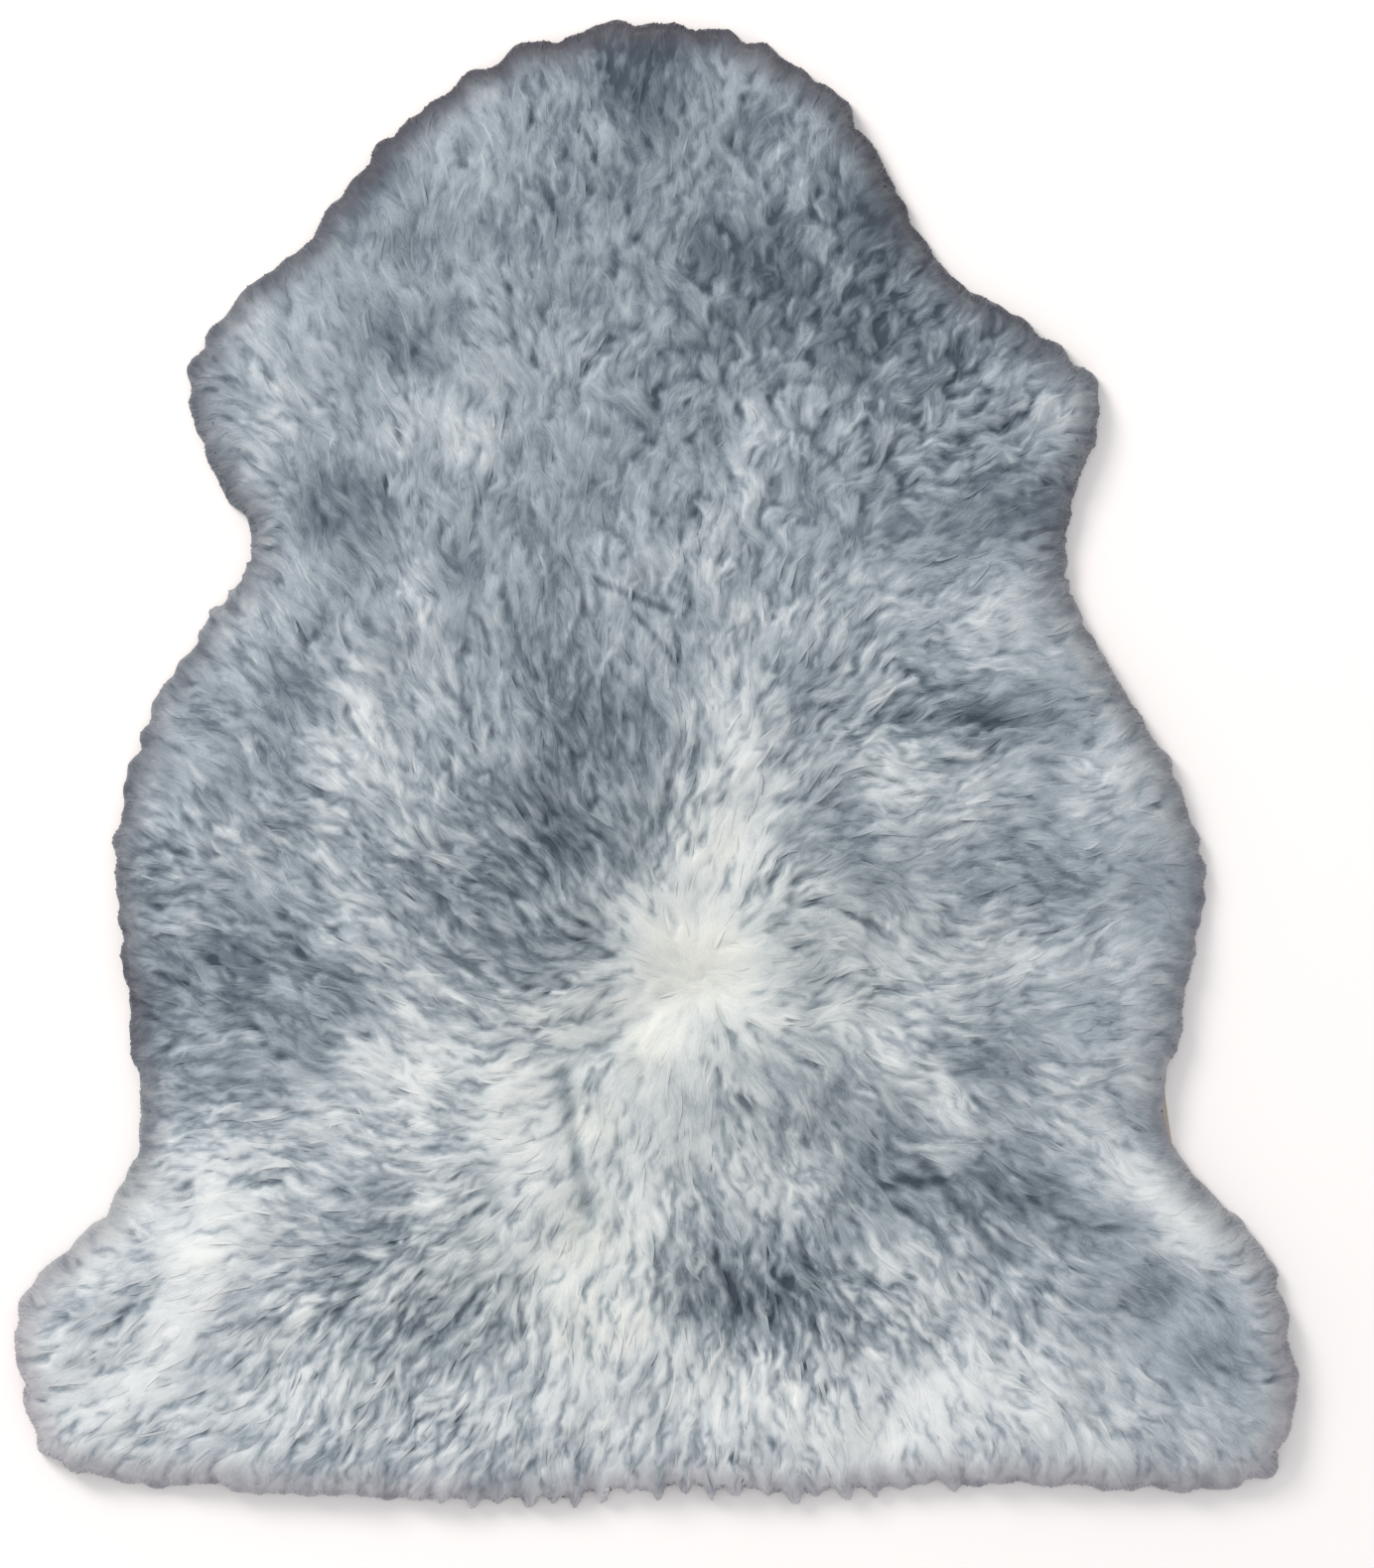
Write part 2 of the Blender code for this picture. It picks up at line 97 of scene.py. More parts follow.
# The dyed wool's mottling, as soft ellipses, by the part of the pelt: tone is added to the pile's grey
# (0 slate to 1 white), cream warms it, and turn is anticlockwise. A row may leave out turn, or cream and
# turn, which are then 0.
# Columns: x_mm, y_mm, half_x_mm, half_y_mm, tone, cream, turn_deg.
PATCHES = {
    "neck": (
        (-12, 455, 19, 46, -0.22), (-5, 488, 60, 12, -0.12), (36, 455, 24, 30, 0.06),
        (22, 482, 34, 22, -0.14), (-75, 470, 34, 26, -0.07, 0, 10), (-86, 418, 26, 20, 0.1),
        (-186, 386, 26, 36, -0.06), (105, 440, 26, 30, -0.08),
    ),
    "crown": (
        (105, 430, 40, 26, -0.04, 0, -30), (-135, 400, 40, 36, 0.08, 0, 30),
    ),
    "nape": (
        (-110, 350, 80, 60, -0.04), (-192, 395, 34, 16, -0.26, 0, 55), (60, 345, 30, 30, -0.08),
        (150, 360, 34, 24, -0.22, 0, 60), (-50, 252, 32, 18, 0.07), (-120, 240, 24, 16, 0.07),
        (62, 337, 36, 36, -0.2, 0, 10), (-45, 365, 24, 24, -0.05), (-58, 300, 26, 30, 0.07),
        (128, 293, 46, 26, -0.17, 0, -10),
    ),
    "foreleg": (
        (-248, 265, 30, 30, -0.06), (-235, 280, 34, 20, 0.05), (-312, 178, 18, 42, -0.06),
        (-304, 280, 22, 34, -0.06), (-235, 250, 38, 48, 0.08), (-172, 278, 24, 24, -0.13),
        (-255, 260, 30, 36, 0.06), (-246, 226, 34, 34, 0.16), (225, 300, 50, 13, -0.2, 0, -32),
        (210, 255, 34, 36, -0.06), (272, 232, 22, 30, 0.08), (248, 226, 20, 26, 0.08),
    ),
    "shoulder": (
        (0, 205, 16, 16, -0.05), (15, 260, 30, 40, -0.08), (22, 282, 22, 18, 0.07),
        (55, 190, 14, 50, 0.15, 0, -12), (-165, 218, 44, 36, 0.04), (-135, 214, 52, 32, 0.17, 0, 10),
        (-175, 296, 24, 18, 0.06), (158, 202, 20, 16, 0.07), (160, 256, 22, 34, -0.1),
    ),
    "withers": (
        (2, 122, 34, 16, 0.06), (96, 195, 18, 16, 0.08), (50, 170, 30, 40, 0.06),
        (20, 135, 44, 14, 0.1, 0, -30), (-100, 152, 26, 20, -0.06), (-45, 118, 40, 18, 0.06),
    ),
    "armpit": (
        (186, 176, 20, 18, -0.07), (245, 165, 36, 20, -0.12, 0, 10), (160, 205, 34, 24, 0.05, 0, -10),
        (-200, 182, 34, 24, -0.15, 0, -20), (-232, 178, 14, 12, -0.04), (-275, 190, 16, 36, 0.12, 0, 20),
    ),
    "ribs": (
        (-150, -18, 20, 28, 0.05), (-144, 112, 18, 16, -0.09), (-128, 24, 16, 34, -0.07, 0, 15),
        (-165, 90, 22, 50, 0.11, 0, 10), (206, 108, 26, 16, 0.07), (214, 50, 38, 14, 0.09, 0, -10),
        (-125, 20, 22, 26, -0.07),
    ),
    "flank": (
        (250, 25, 50, 40, -0.05), (135, 45, 34, 40, 0.08), (175, 104, 90, 18, 0.09),
        (-215, 90, 30, 50, -0.04), (-288, 158, 20, 24, -0.06), (-182, 132, 18, 24, 0.06),
        (-232, 148, 22, 18, -0.07), (-178, 70, 18, 66, 0.05, 0, -8), (-240, 120, 26, 44, 0.01, 0, -10),
        (-285, 100, 24, 30, 0.08, 0, 20), (-212, 110, 22, 52, -0.09),
    ),
    "back": (
        (-130, 120, 60, 50, -0.06), (-80, 4, 18, 26, 0.05), (-108, 56, 15, 34, 0.08),
        (-36, 54, 26, 16, 0.1), (15, 50, 20, 20, -0.07), (72, 46, 18, 16, -0.08), (-100, -45, 36, 34, 0.07),
        (-10, 82, 14, 18, -0.08), (26, -44, 16, 22, 0.06, 0.2), (-100, 90, 60, 50, -0.05),
        (-205, 22, 22, 46, 0.23, 0, 10), (-158, -8, 26, 30, 0.09), (-78, 62, 32, 24, -0.13, 0, -20),
        (-24, 20, 28, 22, -0.14, 0, -10), (-72, -22, 34, 32, -0.2), (-15, -80, 20, 24, -0.05),
        (-62, -52, 20, 20, -0.12), (52, 2, 24, 58, 0.23, 0.2), (35, -52, 20, 28, 0.1, 0.2),
        (102, 55, 30, 28, -0.08),
    ),
    "belly": (
        (330, -60, 60, 130, -0.05), (266, -26, 13, 32, -0.09), (230, -20, 18, 20, 0.08),
        (310, -20, 26, 22, 0.11), (-358, -140, 14, 24, -0.07), (-270, -98, 24, 16, -0.05),
        (-212, -82, 36, 13, 0.08, 0, -15), (-282, -20, 20, 16, -0.09), (-325, -132, 18, 18, 0.1),
        (-362, -145, 18, 40, -0.07), (-292, -84, 42, 15, -0.1, 0, -25), (-255, -50, 26, 18, 0.1),
        (-345, 0, 20, 100, -0.05), (-335, -150, 20, 50, -0.2), (-248, 50, 15, 28, -0.18),
        (-300, 30, 30, 60, -0.09), (-290, -140, 34, 24, -0.17, 0, -15), (-325, -112, 24, 18, 0.1),
        (-228, -150, 36, 18, -0.09, 0, -25), (-262, -190, 34, 28, -0.09, 0, 15), (-185, -50, 30, 24, 0.07),
        (-255, -55, 28, 18, 0.07), (-262, -4, 34, 18, -0.06), (-318, -25, 18, 18, 0.08),
        (212, 36, 54, 20, -0.18, 0, -5), (236, -12, 22, 18, 0.07), (255, -75, 48, 22, -0.14, 0, 5),
        (300, -10, 36, 34, 0.1), (320, -115, 18, 30, 0.08),
    ),
    "loin": (
        (-140, -112, 34, 32, 0.04), (156, -108, 28, 16, 0.08), (92, -75, 24, 20, 0.13, 0.2),
        (25, -150, 165, 165, 0, 0.6), (-138, -100, 32, 20, -0.13, 0, -25), (-175, -128, 34, 34, 0.1),
        (-74, -122, 28, 22, -0.2), (-75, -168, 26, 26, 0.15, 0.2), (-105, -70, 26, 26, -0.12),
        (-145, -202, 70, 18, 0.22, 0.1, -4), (175, -12, 34, 17, 0.15, 0.1, -20), (126, -16, 18, 18, 0.07),
        (112, -36, 24, 24, -0.13, 0, -30), (146, -66, 24, 18, -0.04, 0, -30), (180, -60, 24, 16, 0.07),
        (146, -160, 44, 34, 0.1, 0, -10), (240, -134, 55, 22, 0.22), (-188, -176, 24, 22, -0.05),
        (-140, -100, 24, 16, -0.05), (-92, -152, 20, 30, 0.08), (-142, -158, 26, 26, 0.13),
        (130, -68, 18, 14, -0.09), (284, -130, 22, 14, -0.09), (150, -168, 40, 14, 0.08, 0, -20),
        (186, -148, 24, 14, -0.07),
    ),
    "whorl": (
        (-30, -218, 22, 20, -0.07), (44, -60, 20, 28, 0.19, 0.7), (62, -122, 20, 34, -0.09, 0.2),
        (24, -140, 44, 44, 0.46, 1, 20), (-12, -192, 30, 28, 0.2, 0.9, 30), (-45, -116, 18, 16, 0.09, 0.3),
    ),
    "rump": (
        (-30, -298, 22, 20, -0.06), (82, -400, 36, 20, 0.09), (6, -336, 20, 20, 0.08, 0.2),
        (-20, -200, 40, 13, -0.08, 0, 45), (20, -258, 38, 20, 0.06, 0.3), (-38, -240, 32, 30, 0.11, 0.8),
        (-98, -235, 26, 30, 0.08, 0.5), (-45, -312, 34, 40, 0.18, 0.9), (-118, -330, 22, 40, -0.06, 0.6),
        (-50, -372, 30, 30, 0.1, 0.7), (66, -240, 40, 40, 0.01), (118, -218, 24, 20, -0.06),
        (30, -322, 24, 22, -0.2, 0, 30), (-5, -318, 18, 24, 0.13, 0.4), (68, -357, 40, 22, -0.31, 0, 10),
        (112, -318, 22, 20, -0.09), (85, -285, 24, 24, 0.05), (122, -348, 34, 22, 0.07),
        (32, -268, 24, 18, 0.05, 0.1), (86, -286, 34, 24, 0.11), (-72, -262, 22, 24, 0.13, 0.3),
        (-70, -190, 22, 46, 0.09, 0, -10),
    ),
    "hip": (
        (290, -290, 50, 40, -0.05), (272, -262, 16, 36, 0.08), (135, -232, 60, 20, -0.07),
        (162, -214, 24, 16, -0.05), (164, -262, 22, 24, 0.08), (150, -200, 30, 16, 0.05),
        (222, -190, 24, 17, -0.18), (305, -175, 24, 14, -0.03), (278, -206, 34, 24, 0.14),
        (290, -258, 22, 22, 0.05), (188, -232, 36, 18, 0.2, 0, -50), (165, -284, 36, 20, -0.2, 0, -30),
        (236, -284, 34, 19, -0.31, 0, -25), (335, -292, 52, 15, 0.28, 0, -50),
    ),
    "thigh": (
        (-186, -355, 44, 24, 0.11), (-232, -402, 34, 20, 0.07), (-235, -330, 18, 22, 0.06),
        (-172, -216, 50, 14, 0.08, 0, 6), (-210, -288, 16, 18, -0.09), (-150, -296, 36, 15, 0.1),
        (-258, -266, 26, 20, 0.1), (-170, -364, 26, 20, 0.13, 0.2), (-235, -330, 26, 20, 0.09),
        (190, -328, 56, 22, -0.06, 0, -20), (-200, -328, 32, 34, -0.15, 0, -30),
        (-172, -300, 24, 18, 0.06, 0.1), (-150, -376, 34, 24, -0.12, 0, -20), (-235, -365, 34, 24, -0.06),
        (-180, -246, 70, 22, 0.16, 0.1), (-255, -282, 26, 18, 0.07),
    ),
    "hind_leg": (
        (360, -380, 90, 80, -0.07), (388, -345, 12, 26, 0.09), (338, -374, 26, 20, 0.12),
        (328, -342, 54, 28, -0.2, 0, -20), (372, -400, 42, 36, -0.16), (-300, -445, 26, 18, -0.08),
        (-355, -292, 22, 24, 0.05), (-362, -400, 26, 18, -0.08), (-330, -316, 24, 16, -0.08),
        (-362, -290, 24, 28, 0.06), (-300, -308, 24, 44, 0.2, 0, -8), (-325, -382, 22, 42, 0.16, 0, -12),
        (-370, -365, 30, 13, -0.05, 0, 15), (-362, -315, 28, 40, 0.07), (-370, -430, 40, 34, 0.13),
    ),
    "tail_edge": (
        (62, -448, 30, 14, -0.07), (110, -426, 26, 18, 0.08), (-146, -440, 22, 14, 0.08),
        (140, -445, 42, 18, 0.11), (215, -418, 70, 24, 0.16), (60, -420, 50, 22, 0.1, 0.1),
        (140, -452, 60, 18, 0.11), (260, -450, 56, 14, 0.07), (-235, -425, 60, 22, 0.06),
        (-120, -458, 40, 18, -0.05), (-50, -450, 26, 20, 0.13), (-105, -484, 26, 12, -0.15),
    ),
    "tail": (
        (-22, -410, 26, 14, -0.07), (40, -410, 22, 16, 0.09, 0, -20), (-4, -380, 22, 18, 0.13, 0.2, -20),
        (-60, -396, 34, 16, 0.09, 0.2), (-60, -350, 190, 70, 0, 0.5), (140, -385, 30, 18, -0.01, 0.1),
        (-150, -402, 30, 14, -0.09), (-10, -380, 22, 20, 0.12, 0.2), (198, -350, 46, 22, 0.11),
        (-244, -386, 30, 16, 0.1),
    ),
}

# Where the wool is combed another way than away from the whorl, as soft ellipses.
# Columns: place, x_mm, y_mm, half_x_mm, half_y_mm, turn_deg.
COMBED = (
    ("flank_left", -200, -20, 150, 200, -21),
    ("belly_left", -185, -215, 110, 95, -32),
    ("rump_column", -38, -275, 38, 85, 32),
    ("loin_right", 160, -105, 46, 38, -45),
    ("belly_right", 285, -130, 42, 34, 35),
    ("hind_leg_left", -250, -360, 60, 90, 18),
    ("thigh_left", -230, -318, 58, 50, -62),
    ("tail_left", -165, -410, 80, 46, 36),
)

# Where the wool parts into locks more than elsewhere, or less, as soft ellipses. The share is added to 1.
# Columns: place, x_mm, y_mm, half_x_mm, half_y_mm, share.
BUSY = (
    ("nape_left", -150, 330, 90, 90, -0.45),
    ("shoulder_left", -225, 265, 50, 40, -0.40),
    ("shoulder_right", 170, 250, 80, 50, 0.55),
    ("back_left", -110, 110, 90, 70, -0.50),
    ("back_right", 125, 22, 32, 32, 0.80),
    ("back_dark", -90, -72, 56, 50, 1.35),
    ("flank_left", -300, 20, 50, 60, -0.30),
    ("flank_right", 255, 95, 50, 60, -0.60),
    ("belly_left", -255, -150, 75, 80, 0.45),
    ("belly_right", 355, -60, 60, 170, -0.80),
    ("belly_right_inner", 250, -40, 60, 60, -0.35),
    ("whorl_low", 5, -205, 45, 40, -0.50),
    ("rump_middle", -30, -260, 60, 50, -0.40),
    ("rump_dark", 88, -355, 56, 42, 1.40),
    ("hip_right", 250, -230, 60, 60, -0.28),
    ("hip_right_outer", 310, -310, 60, 60, -0.50),
    ("hind_leg_left_top", -310, -310, 60, 55, -0.40),
    ("hind_leg_right", 380, -390, 80, 90, -0.65),
    ("tail_left", -170, -372, 80, 60, 0.85),
    ("tail_left_edge", -120, -455, 40, 22, 0.80),
)

# Partings and creases: the wool falls away to both sides of a line, which lies lower.
# Columns: place, x1_mm, y1_mm, x2_mm, y2_mm, depth_mm, half_width_mm.
CREASES = (
    ("shoulder_crease", -42, 122, 10, 101, 3.0, 2.6),
    ("shoulder_crease_low", -14, 99, 12, 69, 2.2, 2.4),
    ("rump_parting", 5, -158, -63, -208, 2.5, 7),
    ("tail_parting", -63, -208, -46, -300, 4.0, 6),
    ("hind_leg_crease", 180, -268, 232, -331, 4.5, 6),
    ("hip_crease", 150, -283, 186, -278, 3.0, 5),
)

# Noise that turns the combed wool to and fro, in radians, the last more strongly where it is curly.
# Columns: wavelength_mm, seed, turn, more_where_curly.
TURNS = (
    (90, 11, 0.16, 0.0),
    (38, 12, 0.38, 0.0),
    (17, 13, 0.30, 0.35),
)

# Noise that pushes the patches out of shape, with a seed for each direction.
# Columns: wavelength_mm, seeds, reach_mm.
WARPS = (
    (46, (21, 22), 9),
    (17, (23, 24), 6),
)

# Noise that mottles the tone between the patches.
# Columns: wavelength_mm, seed, tone.
MOTTLES = (
    (30, 25, 0.06),
    (12, 26, 0.04),
)

# The rim's painted shade by direction from CENTRE, anticlockwise from +X: bells that add to its usual
# strength.
# Columns: side, turn_deg, half_deg, strength.
PAINTED_RIM_SHADE = (
    ("neck", 97, 38, 0.63),
    ("flank_left", 186, 32, 0.37),
    ("foreleg_right", 25, 34, 0.16),
    ("tail", 262, 42, -0.26),
    ("hip_right", 328, 24, 0.12),
)


def smoothstep(low: float, high: float, value: Array) -> Array:
    """An eased ramp: 0 at low, 1 at high, and three times the square less twice the cube between them.

    Args:
        low: where the ramp starts.
        high: where it ends. It may be below low.
        value: where the ramp is read.

    Returns:
        The ramp's values, from 0 to 1.
    """
    share = np.clip((value - low) / (high - low), 0.0, 1.0)
    return share * share * (3.0 - 2.0 * share)


def unit(vectors: Array) -> Array:
    """The vectors, each divided by its length."""
    return vectors / np.maximum(np.linalg.norm(vectors, axis=-1, keepdims=True), 1e-12)


def turned(vectors: Array, angles: Array) -> Array:
    """Level vectors turned anticlockwise by angles in radians."""
    c, s = np.cos(angles), np.sin(angles)
    return np.stack([c * vectors[:, 0] - s * vectors[:, 1], s * vectors[:, 0] + c * vectors[:, 1]], axis=1)


def ways_at(angles: Array) -> Array:
    """Level unit vectors, turned anticlockwise from +X by angles in radians."""
    return np.stack([np.cos(angles), np.sin(angles)], axis=1)


def leftward(ways: Array) -> Array:
    """Level vectors turned a quarter anticlockwise."""
    return np.stack([-ways[:, 1], ways[:, 0]], axis=1)


def from_whorl(points: Array) -> Array:
    """How far level points are from the whorl."""
    return np.linalg.norm(points - WHORL, axis=1)


def bell(
    points: Array, x: float, y: float, half_x: float, half_y: float, turn: float = 0.0, narrow: float = 1.0
) -> Array:
    """A soft ellipse: e to the minus narrow times the square of the distance in half sizes.

    Args:
        points: level points, one a row.
        x: its middle's place, in millimetres.
        y: the same, towards the neck.
        half_x: its half size along x before it is turned, in millimetres.
        half_y: the same along y.
        turn: how far it is turned anticlockwise, in degrees.
        narrow: how fast it falls.

    Returns:
        Values from 0, far off, to 1 in its middle.
    """
    local = points - np.array([x, y]) * MM
    if turn:
        local = turned(local, np.full(len(points), -math.radians(turn)))
    return np.exp(-((local / (np.array([half_x, half_y]) * MM)) ** 2).sum(axis=1) * narrow)


def tree_of(node: str) -> BVHTree:
    """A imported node's faces, ready for rays."""
    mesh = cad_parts[node].data
    return BVHTree.FromPolygons([v.co for v in mesh.vertices], [tuple(p.vertices) for p in mesh.polygons])


def hide_reach(angles: Array) -> Array:
    """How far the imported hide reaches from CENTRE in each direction, between its points by proportion."""
    points = np.array([v.co[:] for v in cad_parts["hide"].data.vertices])[:, :2] - CENTRE
    turns = np.arctan2(points[:, 1], points[:, 0])
    order = np.argsort(turns)
    return np.interp(angles, turns[order], np.linalg.norm(points[order], axis=1), period=2 * math.pi)


@dataclass(frozen=True)
class SmoothNoise:
    """Value noise: random values on a square lattice, eased between its corners.

    Attributes:
        wavelength: the lattice's pitch, in metres.
        seed: which lattice.
        cells: lattice points each way before it repeats.
    """

    wavelength: float
    seed: int
    cells: int = 256

    def at(self, points: Array) -> Array:
        """Reads the noise.

        Args:
            points: level points, one a row.

        Returns:
            Values from -1 to 1.
        """
        values = np.random.default_rng(self.seed).uniform(-1, 1, (self.cells, self.cells))
        place = points / self.wavelength
        corner = np.floor(place).astype(int)
        share = place - corner
        share = share * share * (3 - 2 * share)
        x0, y0 = (corner % self.cells).T
        x1, y1 = ((corner + 1) % self.cells).T
        low = values[x0, y0] * (1 - share[:, 0]) + values[x1, y0] * share[:, 0]
        high = values[x0, y1] * (1 - share[:, 0]) + values[x1, y1] * share[:, 0]
        return low * (1 - share[:, 1]) + high * share[:, 1]


@dataclass(frozen=True)
class StapleGrid:
    """Where the wool's staples stand: one at a random place in each cell of a square lattice.

    Attributes:
        pitch: the lattice's pitch, in metres.
        seed: which places.
        cells: cells each way before they repeat.
    """

    pitch: float
    seed: int
    cells: int = 256

    def nearest(self, points: Array) -> tuple[Array, Array]:
        """Finds each point's staple by measuring to those in its own cell and the eight around it.

        Args:
            points: level points, one a row.

        Returns:
            The staples' centres, and four random numbers from 0 to 1 for each of them.
        """
        rng = np.random.default_rng(self.seed)
        offsets = rng.uniform(0.08, 0.92, (self.cells, self.cells, 2))
        numbers = rng.random((self.cells, self.cells, 4))
        home = np.floor(points / self.pitch).astype(int)
        best = np.full(len(points), np.inf)
        centres, chances = np.zeros_like(points), np.zeros((len(points), 4))
        for step in np.ndindex(3, 3):
            cell = home + np.array(step) - 1
            x, y = (cell % self.cells).T
            centre = (cell + offsets[x, y]) * self.pitch
            away = np.linalg.norm(points - centre, axis=1)
            closer = away < best
            best[closer] = away[closer]
            centres[closer] = centre[closer]
            chances[closer] = numbers[x[closer], y[closer]]
        return centres, chances


@dataclass(frozen=True)
class LevelGrid:
    """Square cells over the floor. A field is an array with a value, or a row of values, at each corner.

    Attributes:
        low: the corner with the least x and y.
        pitch: the cells' side.
        shape: how many corners there are each way.
    """

    low: Pair
    pitch: float
    shape: tuple[int, int]

    def points(self) -> Array:
        """Every corner's place, one a row."""
        steps = np.stack(np.meshgrid(*(np.arange(n) for n in self.shape), indexing="ij"), axis=-1)
        return (np.array(self.low) + steps * self.pitch).reshape(-1, 2)

    def finer(self, pitch: float) -> "LevelGrid":
        """A grid of another pitch over the same floor."""
        counts = [int((n - 1) * self.pitch / pitch) + 1 for n in self.shape]
        return LevelGrid(self.low, pitch, (counts[0], counts[1]))

    def nearest(self, points: Array) -> Array:
        """The number of the corner nearest to each point, in the order of points()."""
        place = np.rint((points - np.array(self.low)) / self.pitch).astype(int)
        i, j = np.clip(place, 0, np.array(self.shape) - 1).T
        return i * self.shape[1] + j

    def read(self, values: Array, points: Array) -> Array:
        """Reads a field between its corners, by proportion along both sides of a cell.

        Args:
            values: the field.
            points: level points, one a row.

        Returns:
            The field's values there.
        """
        place = np.clip((points - np.array(self.low)) / self.pitch, 0, np.array(self.shape) - 1.001)
        corner = place.astype(int)
        x, y = (place - corner).T
        i, j = corner.T
        if values.ndim == 3:
            x, y = x[:, None], y[:, None]
        left = values[i, j] * (1 - y) + values[i, j + 1] * y
        right = values[i + 1, j] * (1 - y) + values[i + 1, j + 1] * y
        return left * (1 - x) + right * x

    def blurred(self, values: Array, spread: float) -> Array:
        """A field's bell-shaped average, worked out by multiplying its waves by the bell's."""
        across, along = (np.fft.fftfreq(n, self.pitch)[:, None] for n in self.shape)
        kept = np.exp(-2 * (math.pi * spread) ** 2 * (across**2 + along.T**2))
        return np.fft.ifft2(np.fft.fft2(values) * kept).real


@dataclass
class Envelope:
    """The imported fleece, read from above on a level grid: its top, and the distance inside its silhouette.

    Attributes:
        pitch: the grid's pitch.
        margin: how far the grid reaches past the fleece.
        outline_blur: how far the silhouette is smoothed, which closes the slots between the solid's locks.
        outline_level: the smoothed silhouette's share that counts as its edge, low to run near their tips.
        height_blur: how far the top is smoothed.
        flow_blur: how far the distance is smoothed before its slope gives the way out.
        grid: the level grid.
        height: the fleece's top.
        inside: the distance inside its silhouette, negative outside.
        outward: the way out, square to the silhouette.
        slope: how the top rises along x and y.
    """

    pitch: float = 4 * MM
    margin: float = 40 * MM
    outline_blur: float = 6 * MM
    outline_level: float = 0.22
    height_blur: float = 5 * MM
    flow_blur: float = 12 * MM
    grid: LevelGrid = field(init=False)
    height: Array = field(init=False)
    inside: Array = field(init=False)
    outward: Array = field(init=False)
    slope: Array = field(init=False)

    def __post_init__(self) -> None:
        """Casts a ray down at each grid point, and works the fields out from what the rays meet."""
        low, high = (np.array(corner)[:2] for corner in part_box("fleece"))
        counts = np.ceil((high - low + 2 * self.margin) / self.pitch).astype(int) + 1
        grid = LevelGrid(tuple(low - self.margin), self.pitch, tuple(int(n) for n in counts))
        self.grid = grid
        tree = tree_of("fleece")
        hits = [tree.ray_cast(Vector((x, y, 1.0)), Vector((0, 0, -1)))[0] for x, y in grid.points()]
        top = np.array([place.z if place else 0.0 for place in hits]).reshape(grid.shape)
        met = (top > 0).astype(float)
        share = grid.blurred(met, self.height_blur)
        self.height = grid.blurred(top, self.height_blur) / np.maximum(share, 0.05)
        self.inside = self.distances(grid.blurred(met, self.outline_blur) - self.outline_level)
        smooth = np.stack(np.gradient(grid.blurred(self.inside, self.flow_blur), self.pitch), axis=-1)
        self.outward = unit(-smooth)
        self.slope = np.stack(np.gradient(self.height, self.pitch), axis=-1)

    def distances(self, level: Array) -> Array:
        """The distance from each grid point to the line where level is zero, positive where it is above zero.

        The line's points are where level changes sign between two neighbours, by proportion.
        """
        i, j = np.meshgrid(*(np.arange(n) for n in self.grid.shape), indexing="ij")
        here = np.stack([i, j], axis=-1).astype(float)
        found = []
        for axis in (0, 1):
            ahead = np.roll(level, -1, axis=axis)
            crosses = (level > 0) != (ahead > 0)
            share = level[crosses] / (level[crosses] - ahead[crosses])
            point = here[crosses]
            point[:, axis] += share
            found.append(point)
        line = np.vstack(found) * self.pitch
        flat = here.reshape(-1, 2) * self.pitch
        rows = [
            np.sqrt(((part[:, None] - line[None]) ** 2).sum(axis=2).min(axis=1))
            for part in np.array_split(flat, max(1, len(flat) // 1500))
        ]
        return np.where(level > 0, 1, -1) * np.concatenate(rows).reshape(self.grid.shape)

    def read(self, values: Array, points: Array) -> Array:
        """Reads one of the fields at level points."""
        return self.grid.read(values, points)

    def depth(self, points: Array) -> Array:
        """How far inside the silhouette level points lie."""
        return self.read(self.inside, points)

    def out(self, points: Array) -> Array:
        """The way out at level points, as unit vectors."""
        return unit(self.read(self.outward, points))

    def radius(self, centre: Array, angles: Array, inset: float) -> Array:
        """How far the line inset from the silhouette lies from centre in each direction, by halving."""
        near, far = np.zeros(len(angles)), np.full(len(angles), 0.8)
        way = ways_at(angles)
        for _ in range(24):
            middle = (near + far) / 2
            is_in = self.depth(centre + way * middle[:, None]) > inset
            near, far = np.where(is_in, middle, near), np.where(is_in, far, middle)
        return near

    def ring(self, inset: float, count: int, start: float = 0.0) -> Array:
        """Points in equal steps along the line inset from the silhouette.

        Args:
            inset: how far inside it.
            count: how many.
            start: the first point's place, as a share of a step.

        Returns:
            Level points, one a row.
        """
        angles = np.linspace(0, 2 * math.pi, 2881)
        line = CENTRE + ways_at(angles) * self.radius(CENTRE, angles, inset)[:, None]
        far = np.concatenate([[0], np.cumsum(np.linalg.norm(np.diff(line, axis=0), axis=1))])
        places = (np.arange(count) + start) / count * far[-1]
        return np.stack([np.interp(places, far, line[:, axis]) for axis in (0, 1)], axis=1)


